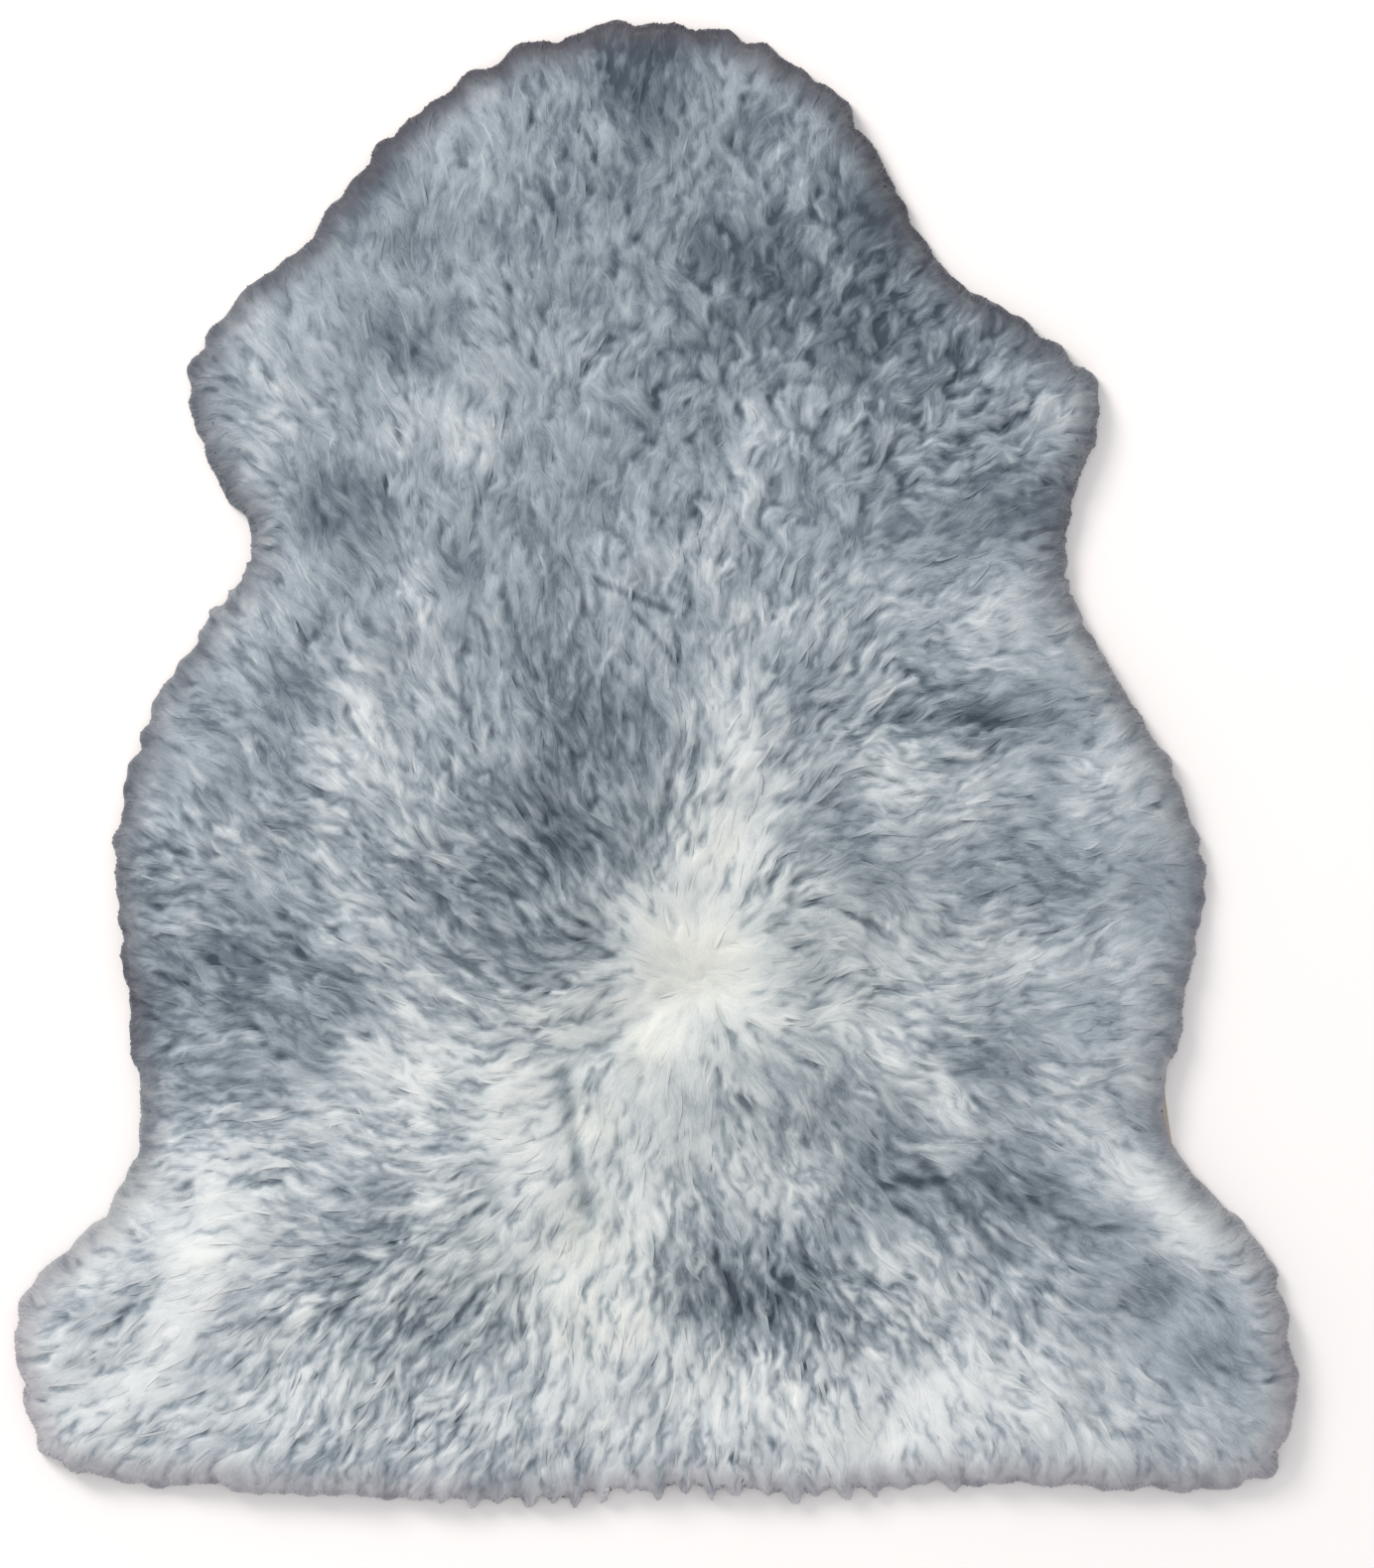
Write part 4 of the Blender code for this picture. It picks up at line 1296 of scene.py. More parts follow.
@dataclass
class CombedTop:
    """The top of the combed wool, as a map of heights: fine strands laid over each other, the highest kept.

    Strands share the line of their wisp, and wisps lean to their staple. A strand lies lower the further it
    is from its wisp's middle, and a wisp from its staple's, so that the map shows round locks and valleys.

    Attributes:
        pile: how the wool lies.
        rim: its edge.
        pitch: the map's pitch.
        seed: which chances.
        spacing: the strands' spacing at their roots.
        root_inset: how far inside the silhouette they start.
        steps: points along a strand.
        length: a strand's usual length.
        width: how far apart a strand's sides are.
        staples: where the staples stand.
        wisps: where the wisps stand.
        curls: where the broader wisps of the curly wool stand.
        curl_drift: the noise that makes that wool's edge uneven.
        curl_from: how curly the wool is where its wisps are the broader ones.
        wisp_gather: how far a strand closes up to its wisp's middle, as a share.
        staple_gather: how far a wisp leans to its staple's middle, as a share.
        staple_bend: how far a staple's strands turn, in radians from end to end of the chance.
        wisp_bend: how far a wisp's do.
        strand_bend: how far one strand turns, as a normal spread.
        staple_lift: how far staples differ in height.
        wisp_lift: how far wisps do.
        strand_lift: how far strands do, as a normal spread.
        staple_round: how much lower a wisp lies at its staple's edge.
        wisp_round: how much lower a strand lies at its wisp's edge.
        side_sink: how much lower a strand's sides lie than its middle.
        root_depth: how far below the top the strands start.
        lie_at: shares of a strand's length.
        lie: its depth there, as shares of root_depth.
        crimp: how far strands swing to and fro, and how much further where they are curly, in radians.
        waves: how many times they do.
        staple_tone: how far staples differ in tone.
        wisp_tone: how far wisps do.
        strand_tone: how far strands do, as a normal spread.
        painted_root_shade: how much darker a strand is painted at its root, as shade deep under the others.
        tip_tone: how much darker the dyed tips are.
        tip_from: the chances at which a wisp's tips start to be dark, and are fully dark.
        tip_drift: the noise by which wisps with dark tips alternate with others.
        pit: no place lies further than this below the mean around it.
        pit_reach: how far that mean reaches.
        comb_reach: how far heights and tones are smoothed along the wool.
        softened: how far the map is smoothed.
        tone_softened: how far its tones are, as a share of that.
        facing_blur: how much further, for the way it faces.
        edge_radius: how far the top is rounded down to the rim.
        hollow_reach: how wide a hollow still gets painted shade.
        hollow_limits: the deepest hollow and the highest ridge that count.
        painted_shade_and_highlight: painted shade per metre of a hollow's depth, and highlight per metre of a
            ridge's.
        partings: the short dark openings in it.
        clearance: how far its underside is above the hide.
        grid: the map's grid.
        floor: the height of its underside.
        height: the top's height at each corner of the map.
        spare: how far inside the rim each corner is.
        tone: the tone there.
        cream: the warmth there.
        facing: the way the top faces there.
        owner: which strand is topmost there.
        ways: the way that it points there.
        roots: every strand's root.
        turns: every strand's direction, halfway along it.
    """

    pile: Pile
    rim: Rim
    pitch: float = 1.3 * MM
    seed: int = 61
    spacing: float = 1.4 * MM
    root_inset: float = 2 * MM
    steps: int = 28
    length: float = 34 * MM
    width: float = 1.4 * MM
    staples: StapleGrid = StapleGrid(24 * MM, 5)
    wisps: StapleGrid = StapleGrid(8 * MM, 6)
    curls: StapleGrid = StapleGrid(12 * MM, 8)
    curl_drift: SmoothNoise = SmoothNoise(20 * MM, 66)
    curl_from: float = 0.42
    wisp_gather: float = 0.5
    staple_gather: float = 0.35
    staple_bend: float = 0.7
    wisp_bend: float = 0.8
    strand_bend: float = 0.12
    staple_lift: float = 2.5 * MM
    wisp_lift: float = 2.1 * MM
    strand_lift: float = 0.25 * MM
    staple_round: float = 1.0 * MM
    wisp_round: float = 1.5 * MM
    side_sink: float = 0.25 * MM
    root_depth: float = 5 * MM
    lie_at: tuple[float, ...] = (0.0, 0.25, 0.6, 0.85, 1.0)
    lie: tuple[float, ...] = (1.0, 0.35, 0.08, 0.0, 0.12)
    crimp: Pair = (0.3, 0.1)
    waves: float = 1.2
    staple_tone: float = 0.08
    wisp_tone: float = 0.12
    strand_tone: float = 0.045
    painted_root_shade: float = 0.14
    tip_tone: float = 0.4
    tip_from: Pair = (0.25, 0.8)
    tip_drift: SmoothNoise = SmoothNoise(30 * MM, 51)
    pale_from: Pair = (0.66, 0.9)
    pit: float = 1.3 * MM
    pit_reach: float = 3 * MM
    comb_reach: float = 2.5 * MM
    parted_from: Pair = (4 * MM, 34 * MM)
    softened: float = 0.62 * MM
    tone_softened: float = 0.7
    facing_blur: float = 0.9 * MM
    edge_radius: float = 11 * MM
    hollow_reach: float = 4.2 * MM
    hollow_limits: Pair = (-1.9 * MM, 0.6 * MM)
    painted_shade_and_highlight: float = 170.0
    hollow_pale_from: Pair = (0.7, 0.95)
    partings: Partings = Partings()
    clearance: float = 0.4 * MM
    grid: LevelGrid = field(init=False)
    floor: float = field(init=False)
    height: Array = field(init=False)
    spare: Array = field(init=False)
    tone: Array = field(init=False)
    cream: Array = field(init=False)
    facing: Array = field(init=False)
    owner: Array = field(init=False)
    ways: Array = field(init=False)
    roots: Array = field(init=False)
    turns: Array = field(init=False)

    def __post_init__(self) -> None:
        """Lays the strands and works out the map's height, tone and warmth."""
        env = self.pile.envelope
        self.grid = env.grid.finer(self.pitch)
        self.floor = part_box("hide")[1].z + self.clearance
        corners = self.grid.points()
        shape = self.grid.shape
        coarse = env.grid.points()
        flow = self.pile.flow(coarse).reshape(*env.grid.shape, 2)
        tone, cream = (v.reshape(env.grid.shape) for v in self.pile.tone(coarse))
        self.cream = np.clip(env.read(cream, corners), 0, 1).reshape(shape)
        self.spare = self.rim.spare(corners).reshape(shape)
        bare = env.read(env.height, corners) - self.pile.drop(corners)
        laid, shade = self.laid(unit(env.read(flow, corners)), bare, env.read(tone, corners))
        laid = laid.reshape(shape)
        laid = np.maximum(laid, self.grid.blurred(laid, self.pit_reach) - self.pit)
        laid = self.combed(self.grid.blurred(laid, self.softened))
        # Hollows below the mean around them get painted shade, and ridges painted highlight, weaker in pale
        # wool.
        hollow = np.clip(laid - self.grid.blurred(laid, self.hollow_reach), *self.hollow_limits)
        shade = self.combed(self.grid.blurred(shade.reshape(shape), self.softened * self.tone_softened))
        base = env.read(tone, corners).reshape(shape)
        faint = 1 - 0.55 * smoothstep(*self.hollow_pale_from, base)
        self.tone = base + (shade + self.painted_shade_and_highlight * hollow) * faint
        ways = unit(self.ways.reshape(*shape, 2).reshape(-1, 2))
        parted = self.partings.drawn(self.pile, self.grid, ways, self.tone.ravel())
        # The partings' painted shade: strong where the wool opens, and a softer one beside it.
        shaded = 0.9 * parted + 0.3 * self.grid.blurred(parted, self.partings.soft)
        self.tone -= self.partings.dark * shaded * np.clip(self.tone, 0.3, 0.8)
        laid = laid - self.partings.depth * parted
        near = np.clip(self.spare / self.edge_radius, 0, 1)
        self.height = self.floor + np.maximum(laid - self.floor, 1 * MM) * np.sqrt(1 - (1 - near) ** 2)
        smooth = self.grid.blurred(self.height, self.facing_blur)
        slope = np.stack(np.gradient(smooth, self.grid.pitch), axis=-1).reshape(-1, 2)
        self.facing = unit(np.column_stack([-slope, np.ones(len(slope))]))

    def combed(self, values: Array) -> Array:
        """Smooths a field to and fro along the way its topmost strands lie, which leaves it fine across them.

        Args:
            values: the field.

        Returns:
            The bell-weighted mean over comb_reach each way.
        """
        ways = self.ways.reshape(*self.grid.shape, 2)
        ways = np.stack([self.grid.blurred(ways[..., axis], self.pitch) for axis in (0, 1)], axis=-1)
        ways, corners = unit(ways.reshape(-1, 2)), self.grid.points()
        shares = np.linspace(-1, 1, 7)
        weights = np.exp(-2 * shares**2)
        parts = [self.grid.read(values, corners + ways * share * self.comb_reach) for share in shares]
        return (weights @ np.array(parts) / weights.sum()).reshape(self.grid.shape)

    def laid(self, flow: Array, bare: Array, tone: Array) -> tuple[Array, Array]:
        """Lays every strand step by step from its root, and keeps the highest at each corner of the map.

        Args:
            flow: the way the wool points at each corner.
            bare: the pile's own height there.
            tone: the pile's own tone there.

        Returns:
            The height and the change of tone at each corner.
        """
        wool = self.strands(tone)
        self.roots, self.turns = wool.roots, np.zeros(len(wool.roots))
        height = bare - self.root_depth
        change = np.zeros(len(bare))
        self.owner, self.ways = np.zeros(len(bare), int), flow.copy()
        line, spread = wool.wisp.copy(), wool.roots - wool.wisp
        for step in range(self.steps):
            share = (step + 0.5) / self.steps
            wave = np.sin(2 * math.pi * (self.waves * share + wool.phase))
            way = turned(flow[self.grid.nearest(line)], wool.bend * share + wool.crimp * wave)
            line += way * (wool.length / self.steps)[:, None]
            if step == self.steps // 2:
                self.turns = np.arctan2(way[:, 1], way[:, 0])
            middle = line + wool.lean * share + spread * (1 - wool.gather * share)
            depth = self.root_depth * np.interp(share, self.lie_at, self.lie)
            # A strand's tone change: its own, less painted shade towards its root, deep under the others, less
            # its dyed tip.
            tint = wool.shade - self.painted_root_shade * (1 - min(1.0, share / 0.5)) * wool.busy
            tint = tint - wool.tip * np.clip((share - 0.5) / 0.4, 0, 1)
            side = leftward(way) * self.width / 2
            for swing in (-1, 0, 1):
                cell = self.grid.nearest(middle + swing * side)
                z = bare[cell] + wool.lift - depth * wool.calm - abs(swing) * self.side_sink
                np.maximum.at(height, cell, z)
                won = height[cell] == z
                change[cell[won]] = tint[won]
                self.owner[cell[won]] = np.nonzero(won)[0]
                self.ways[cell[won]] = way[won]
        return height, change

    def strands(self, tone: Array) -> Strands:
        """Every strand's facts: those of its staple and its wisp, and its own chances.

        Where the wool is curly, strands are shorter, turn and wave more and have fainter tips. At the whorl
        they are shorter and hardly differ.

        Args:
            tone: the pile's own tone at each corner of the map.

        Returns:
            The strands.
        """
        rng = np.random.default_rng(self.seed)
        env = self.pile.envelope
        roots = self.scattered(rng)
        count = len(roots)
        wisp, own, wide = self.gathered(roots)
        staple, shared = self.staples.nearest(wisp)
        curl, calm = self.pile.curliness(wisp), self.pile.calm(roots)
        base = tone[self.grid.nearest(roots)]
        busy = calm * self.pile.busy(roots, base)
        parted = smoothstep(*self.parted_from, env.depth(roots))
        off = self.apart(roots, wisp) / (0.55 * np.where(wide, self.curls.pitch, self.wisps.pitch))
        far = self.apart(wisp, staple) / (0.6 * self.staples.pitch)

        length = self.length * (0.75 + 0.5 * own[:, 0]) * rng.uniform(0.92, 1.08, count)
        length *= (1 - 0.35 * curl) * (0.6 + 0.4 * calm)
        bend = self.bend(shared, own, curl) + rng.normal(0, self.strand_bend, count) * (1 + curl)

        lift = (shared[:, 1] - 0.5) * self.staple_lift * (1 - 0.6 * curl) + (own[:, 2] - 0.5) * self.wisp_lift
        lift += rng.normal(0, 1, count) * self.strand_lift * (1 + 0.5 * curl)
        lift -= (1 + 0.2 * curl) * self.wisp_round * np.clip(off, 0, 1.2) ** 2
        lift -= self.staple_round * np.clip(far, 0, 1.2) ** 2
        lift *= busy * (0.35 + 0.65 * parted)

        drift = 0.65 + 0.5 * self.tip_drift.at(roots)
        tip = self.tip_tone * drift * smoothstep(*self.tip_from, own[:, 3]) * (1 - 0.6 * curl) * calm
        tip *= (1 - 0.8 * np.clip(1.1 * off, 0, 1)) * np.clip(busy, 0.2, 1.3)
        tip *= parted * (1 - 0.75 * smoothstep(*self.pale_from, base))

        shade = self.staple_tone * (shared[:, 2] - 0.5) + self.wisp_tone * (own[:, 3] - 0.5) - 0.03 * curl
        shade += rng.normal(0, self.strand_tone, count) * (1 + curl)
        return Strands(
            roots=roots,
            wisp=wisp,
            lean=(staple - wisp) * self.staple_gather,
            gather=self.wisp_gather * (1 - 0.3 * curl)[:, None],
            length=length,
            bend=bend,
            crimp=self.crimp[0] + self.crimp[1] * curl,
            phase=own[:, 2],
            calm=calm,
            busy=busy,
            lift=lift,
            shade=shade * busy,
            tip=tip,
        )

    def bend(self, shared: Array, own: Array, curl: Array) -> Array:
        """How far a strand turns with its staple and its wisp, in radians, up to twice as far where curly."""
        staple = (shared[:, 0] - 0.5) * (self.staple_bend + self.staple_bend * curl)
        return staple + (own[:, 1] - 0.5) * (self.wisp_bend + self.wisp_bend * curl)

    def gathered(self, roots: Array) -> tuple[Array, Array, Array]:
        """The wisps that strands belong to, which are broader where the wool is curly.

        Args:
            roots: the strands' roots.

        Returns:
            The wisps' middles, their four random numbers, and which of them are broad.
        """
        wide = self.pile.curliness(roots) + 0.15 * self.curl_drift.at(roots) > self.curl_from
        wisp, own = self.wisps.nearest(roots)
        broad, numbers = self.curls.nearest(roots)
        return np.where(wide[:, None], broad, wisp), np.where(wide[:, None], numbers, own), wide

    def apart(self, ones: Array, others: Array) -> Array:
        """The distances between two lists of points, row by row."""
        return np.linalg.norm(ones - others, axis=1)

    def scattered(self, rng: np.random.Generator) -> Array:
        """The strands' roots: an uneven square grid inside the rim."""
        env = self.pile.envelope
        grid = env.grid.finer(self.spacing).points()
        grid += rng.uniform(-0.5, 0.5, grid.shape) * self.spacing
        return grid[env.depth(grid) > self.root_inset]


@dataclass
class WoolSurface:
    """The wool as it is seen from above: the combed top's map as a mesh, closed below, in one piece a zone.

    Attributes:
        top: the combed top.
    """

    top: CombedTop

    def build(self, material: bpy.types.Material) -> list[bpy.types.Object]:
        """Makes the cells of the map that lie inside the rim, and shares them out among the zones.

        Args:
            material: the wool's material.

        Returns:
            One piece for each zone.
        """
        top, grid = self.top, self.top.grid
        kept = top.spare > 0
        cells = kept[:-1, :-1] & kept[1:, :-1] & kept[1:, 1:] & kept[:-1, 1:]
        i, j = np.nonzero(cells)
        columns = grid.shape[1]
        first = i * columns + j
        quads = np.stack([first, first + columns, first + columns + 1, first + 1], axis=1)
        around = np.bincount(quads.ravel(), minlength=kept.size)
        level = grid.points()
        border = (around > 0) & (around < 4)
        out = top.pile.envelope.out(level[border])
        level[border] += out * np.clip(top.spare.ravel()[border], 0, 1.6 * grid.pitch)[:, None]
        height = top.height.ravel().copy()
        height[border] = top.floor + 0.6 * MM
        points = np.column_stack([level, height])
        zones = list(Zone)
        limits = np.quantile(-j, np.linspace(0, 1, len(zones) + 1)[1:-1])
        shares = np.searchsorted(limits, -j, side="left")
        return [self.piece(zone.value, points, quads[shares == n], material) for n, zone in enumerate(zones)]

    def piece(
        self, name: str, points: Array, quads: Array, material: bpy.types.Material
    ) -> bpy.types.Object:
        """Makes one zone's piece, with walls down from its border and a level face below.

        Args:
            name: the piece's name.
            points: every corner of the map.
            quads: the zone's cells, as corner numbers.
            material: the wool's material.

        Returns:
            The piece.
        """
        top = self.top
        used, local = np.unique(quads, return_inverse=True)
        local = local.reshape(-1, 4)
        sides = np.stack([local, np.roll(local, -1, axis=1)], axis=-1).reshape(-1, 2)
        key, back = sides @ [len(used), 1], sides @ [1, len(used)]
        edge = sides[~np.isin(key, back)]
        rim = np.unique(edge)
        low = len(used) + np.searchsorted(rim, edge)
        walls = np.stack([edge[:, 1], edge[:, 0], low[:, 0], low[:, 1]], axis=1)
        under = points[used[rim]].copy()
        under[:, 2] = top.floor
        below = len(used) + self.filled(under, low - len(used))
        blocks = [below, np.vstack([local, walls])]
        piece = new_piece(name, np.vstack([points[used], under]), blocks, material)
        source = np.concatenate([used, used[rim]])
        level = points[source, :2]
        set_values(piece, "tone", top.tone.ravel()[source])
        set_values(piece, "cream", top.cream.ravel()[source])
        # rim: how strongly the painted shade at the edge is mixed in
        set_values(piece, "rim", top.rim.tint(level))
        set_values(piece, "blush", top.rim.blush(level))
        faced = np.vstack([top.facing[used], top.facing[used[rim]] * [1, 1, -1]])
        piece.data.normals_split_custom_set_from_vertices(faced)
        owner = top.owner[quads[:, 0]]
        away = points[quads][..., :2] - top.roots[owner][:, None]
        c, s = np.cos(top.turns[owner])[:, None], np.sin(top.turns[owner])[:, None]
        uv = np.stack([away[..., 1] * c - away[..., 0] * s, away[..., 0] * c + away[..., 1] * s], axis=-1)
        uv += (owner[:, None, None] * np.array([0.0173, 0.0419])) % 1.0
        layer = piece.data.uv_layers.new(name="fibre")
        values = np.zeros((len(piece.data.loops), 2), np.float32)
        values[below.size : below.size + local.size] = uv.reshape(-1, 2)
        layer.data.foreach_set("uv", values.ravel())
        return piece

    def filled(self, ring: Array, sides: Array) -> Array:
        """Triangles, facing down, that fill a level ring of points.

        Args:
            ring: the ring's points.
            sides: its sides, as point numbers.

        Returns:
            The triangles, as point numbers.
        """
        work = bmesh.new()
        made = [work.verts.new(point) for point in ring]
        lines = [work.edges.new((made[a], made[b])) for a, b in sides]
        work.verts.index_update()
        faces = bmesh.ops.triangle_fill(work, edges=lines, use_beauty=True, use_dissolve=False)["geom"]
        faces = [part for part in faces if isinstance(part, bmesh.types.BMFace)]
        bmesh.ops.recalc_face_normals(work, faces=faces)
        numbers = np.array([[corner.index for corner in face.verts] for face in faces])
        work.free()
        one, two, three = (ring[numbers[:, n], :2] for n in range(3))
        ahead, back = two - one, three - one
        upward = (ahead[:, 0] * back[:, 1] - ahead[:, 1] * back[:, 0]).sum() > 0
        return numbers[:, ::-1] if upward else numbers


@dataclass
class Locks:
    """Locks that stand out from the combed top: thin strands that lie on it, with their roots and tips in it.

    Attributes:
        top: the combed top.
        name: the piece's name.
        pitch: the roots' spacing.
        seed: which chances.
        stations: places along a strand, as shares of its length. The last is its tip.
        widths: the strand's width at the stations before the tip, as shares of its greatest.
        lie: how far above the top the strand lies at each station.
        length: its usual length.
        width: its greatest width.
        thickness: its greatest thickness.
        gathering: how far its tip closes up to its wisp's middle, as a share.
        bend: how far it turns by chance, as a normal spread in radians.
        roll: how far it rolls about itself, the same.
        edge_inset: no root is nearer to the silhouette.
        floor_gap: how far a strand stays clear of the floor.
        softness: how far shading follows the top rather than the strand.
        fringe: how far inside the edge tips may end.
        past_edge: how far past the edge they may reach.
    """

    top: CombedTop
    name: str = "wool_top_locks"
    pitch: float = 14 * MM
    seed: int = 3
    stations: tuple[float, ...] = (0.0, 0.22, 0.5, 0.78, 1.0)
    widths: tuple[float, ...] = (0.4, 1.0, 0.9, 0.55)
    lie: tuple[float, ...] = (-1.2 * MM, -0.1 * MM, 0.15 * MM, 0.2 * MM, -0.1 * MM)
    length: float = 26 * MM
    width: float = 3.0 * MM
    thickness: float = 0.6 * MM
    gathering: float = 0.55
    bend: float = 0.2
    roll: float = 0.22
    edge_inset: float = 6 * MM
    floor_gap: float = 0.6 * MM
    softness: float = 0.8
    fringe: float = 14 * MM
    past_edge: float = 0.0

    def roots(self) -> Array:
        """Where the strands grow: an uneven grid, thinned where the wool is curly or creased."""
        rng = np.random.default_rng(self.seed)
        grid, pile = self.scattered(rng), self.top.pile
        creased = smoothstep(0.1 * MM, 0.6 * MM, pile.drop(grid))
        return grid[rng.random(len(grid)) < 1 - 0.8 * pile.curliness(grid) - creased]

    def scattered(self, rng: np.random.Generator) -> Array:
        """An uneven hexagonal grid of level points over the pile."""
        env = self.top.pile.envelope
        low = np.array(env.grid.low)
        high = low + np.array(env.grid.shape) * env.grid.pitch
        x = np.arange(low[0], high[0], self.pitch)
        y = np.arange(low[1], high[1], self.pitch * math.sqrt(3) / 2)
        grid_x, grid_y = np.meshgrid(x, y)
        grid_x = grid_x + self.pitch / 2 * (np.arange(len(y)) % 2)[:, None]
        grid = np.column_stack([grid_x.ravel(), grid_y.ravel()])
        grid += rng.uniform(-0.45, 0.45, grid.shape) * self.pitch
        return grid[env.depth(grid) > self.edge_inset]

    def paths(self, roots: Array) -> Array:
        """The strands' centre lines.

        Each strand steps along the flow, turned a little by its staple and its wisp, and is drawn towards its
        wisp's middle. Its height is the combed top's, and the strand's own lie.

        Args:
            roots: the roots' level places.

        Returns:
            The points, by strand and station.
        """
        top, pile = self.top, self.top.pile
        rng = np.random.default_rng(self.seed + 1)
        wisp, own, _ = top.gathered(roots)
        _, shared = top.staples.nearest(wisp)
        curl, calm = pile.curliness(roots), pile.calm(roots)
        length = self.length * rng.uniform(0.7, 1.3, len(roots)) * (1 - 0.4 * curl) * (0.6 + 0.4 * calm)
        bend = top.bend(shared, own, curl) + rng.normal(0, self.bend, len(roots))
        here = roots.copy()
        lines = [here]
        for start, end in zip(self.stations, self.stations[1:]):
            way = turned(pile.flow(here), bend * (start + end) / 2)
            here = here + way * (length * (end - start))[:, None]
            lines.append(here)
        line = np.stack(lines, axis=1)
        share = np.array(self.stations)[None, :, None]
        line += (wisp - roots)[:, None] * self.gathering * share * calm[:, None, None]
        line = self.kept_in(line, rng.random(len(roots)))
        return np.concatenate([line, self.heights(line, rng)[..., None]], axis=2)

    def heights(self, line: Array, rng: np.random.Generator) -> Array:
        """The stations' heights: the combed top's, with the strand's lie over it, and clear of the floor.

        Args:
            line: the centre lines, seen from above.
            rng: where chances come from.

        Returns:
            The heights, by strand and station.
        """
        top = self.top.grid.read(self.top.height, line.reshape(-1, 2)).reshape(line.shape[:2])
        over = np.array(self.lie)[None, :] * rng.uniform(0.6, 1.2, len(line))[:, None]
        return np.maximum(top + over, self.floor_gap + 1 * MM * rng.random(len(line))[:, None])

    def kept_in(self, line: Array, chance: Array) -> Array:
        """Strands shortened to end inside the rim's scallops, and drawn to the middle of them near the edge.

        Most tips end a little short of the edge, so that they cover its slope in layers.

        Args:
            line: the centre lines, seen from above.
            chance: a random number from 0 to 1 for each strand.

        Returns:
            The changed lines.
        """
        env, rim = self.top.pile.envelope, self.top.rim
        root = line[:, :1]
        for _ in range(3):
            tip = line[:, -1]
            spare = rim.spare(tip) + self.past_edge - self.fringe * chance**1.6
            span = np.linalg.norm(tip - root[:, 0], axis=1)
            keep = np.clip(1 + np.minimum(spare, 0) / np.maximum(span, 1 * MM), 0.15, 1.0)
            line = root + (line - root) * keep[:, None, None]
        near = smoothstep(20 * MM, 2 * MM, env.depth(line[:, -1]))
        for station, share in enumerate(self.stations):
            line[:, station] = rim.drawn(line[:, station], near * share**1.5)
        return line

    def build(self, material: bpy.types.Material) -> bpy.types.Object:
        """Makes the strands.

        Args:
            material: the wool's material.

        Returns:
            Their piece.
        """
        roots = self.roots()
        line = self.paths(roots)
        return self.piece(*self.surface(line), self.values(line, self.top.pile.calm(roots)), material)

    def surface(self, line: Array) -> tuple[Array, Array, Array]:
        """Puts a three-sided ring round each station but the last, which is the tip.

        A ring has a point to each side and one above. Above is the pile's own upright, squared to the strand
        and rolled a little about it.

        Args:
            line: the centre lines.

        Returns:
            The points of each strand, the way each faces for shading, and a place on the fibre pattern for
            each: distance across, distance along, both with a random start.
        """
        env = self.top.pile.envelope
        rng = np.random.default_rng(self.seed + 2)
        count, stations = line.shape[:2]
        along = unit(np.gradient(line, axis=1))
        slope = env.read(env.slope, line.reshape(-1, 3)[:, :2]).reshape(count, stations, 2)
        slope *= np.minimum(1, 1.8 / np.maximum(np.linalg.norm(slope, axis=2, keepdims=True), 0.01))
        upright = unit(np.concatenate([-slope, np.ones((count, stations, 1))], axis=2))
        side = unit(np.cross(along, upright))
        above = np.cross(side, along)
        roll = rng.normal(0, self.roll, count)[:, None, None]
        side, above = side * np.cos(roll) + above * np.sin(roll), above * np.cos(roll) - side * np.sin(roll)
        width = (self.width * rng.uniform(0.7, 1.3, count))[:, None] * np.array(self.widths)
        thick = self.thickness * rng.uniform(0.8, 1.2, count)[:, None] * np.array(self.widths)
        body = line[:, :-1]
        side, above, up = side[:, :-1], above[:, :-1], upright[:, :-1]
        left = body - side * (width / 2)[..., None]
        right = body + side * (width / 2)[..., None]
        ridge = body + above * thick[..., None]
        rings = np.stack([left, ridge, right], axis=2).reshape(count, -1, 3)
        points = np.concatenate([rings, line[:, -1:]], axis=1)
        own = np.stack([unit(above * 0.6 - side), above, unit(above * 0.6 + side)], axis=2)
        faced = unit(up[:, :, None] * self.softness + own * (1 - self.softness)).reshape(count, -1, 3)
        faced = np.concatenate([faced, unit(upright[:, -1:] + along[:, -1:] * (1 - self.softness))], axis=1)
        steps = np.linalg.norm(np.diff(line, axis=1), axis=2)
        far = np.concatenate([np.zeros((count, 1)), np.cumsum(steps, axis=1)], axis=1)
        start = rng.uniform(0, 1, (count, 1, 2))
        across = np.stack([-width / 2, np.zeros_like(width), width / 2], axis=2).reshape(count, -1)
        across = np.concatenate([across, np.zeros((count, 1))], axis=1)
        down = np.concatenate([np.repeat(far[:, :-1], 3, axis=1), far[:, -1:]], axis=1)
        return points, faced, np.stack([across, down], axis=2) + start

    def values(self, line: Array, calm: Array) -> dict[str, Array]:
        """The numbers that the material reads: the combed top's, the tone changed a little for each strand.

        Args:
            line: the centre lines.
            calm: how far the wool parts for its distance from the whorl, for each strand.

        Returns:
            Tone, cream, rim and blush for each point of each strand, which are its station's.
        """
        rng = np.random.default_rng(self.seed + 3)
        top, flat = self.top, line.reshape(-1, 3)[:, :2]
        values = {"tone": top.grid.read(top.tone, flat), "cream": top.grid.read(top.cream, flat)}
        # rim: how strongly the painted shade at the edge is mixed in
        values |= {"rim": top.rim.tint(flat), "blush": top.rim.blush(flat)}
        values = {name: value.reshape(line.shape[:2]) for name, value in values.items()}
        # Strands lie on top, so their tone is raised 0.02 as painted highlight, and changed a little for each
        # by chance.
        values["tone"] += (0.02 + rng.normal(0, 0.03, len(line)) * calm)[:, None]
        return {
            name: np.concatenate([np.repeat(value[:, :-1], 3, axis=1), value[:, -1:]], axis=1)
            for name, value in values.items()
        }

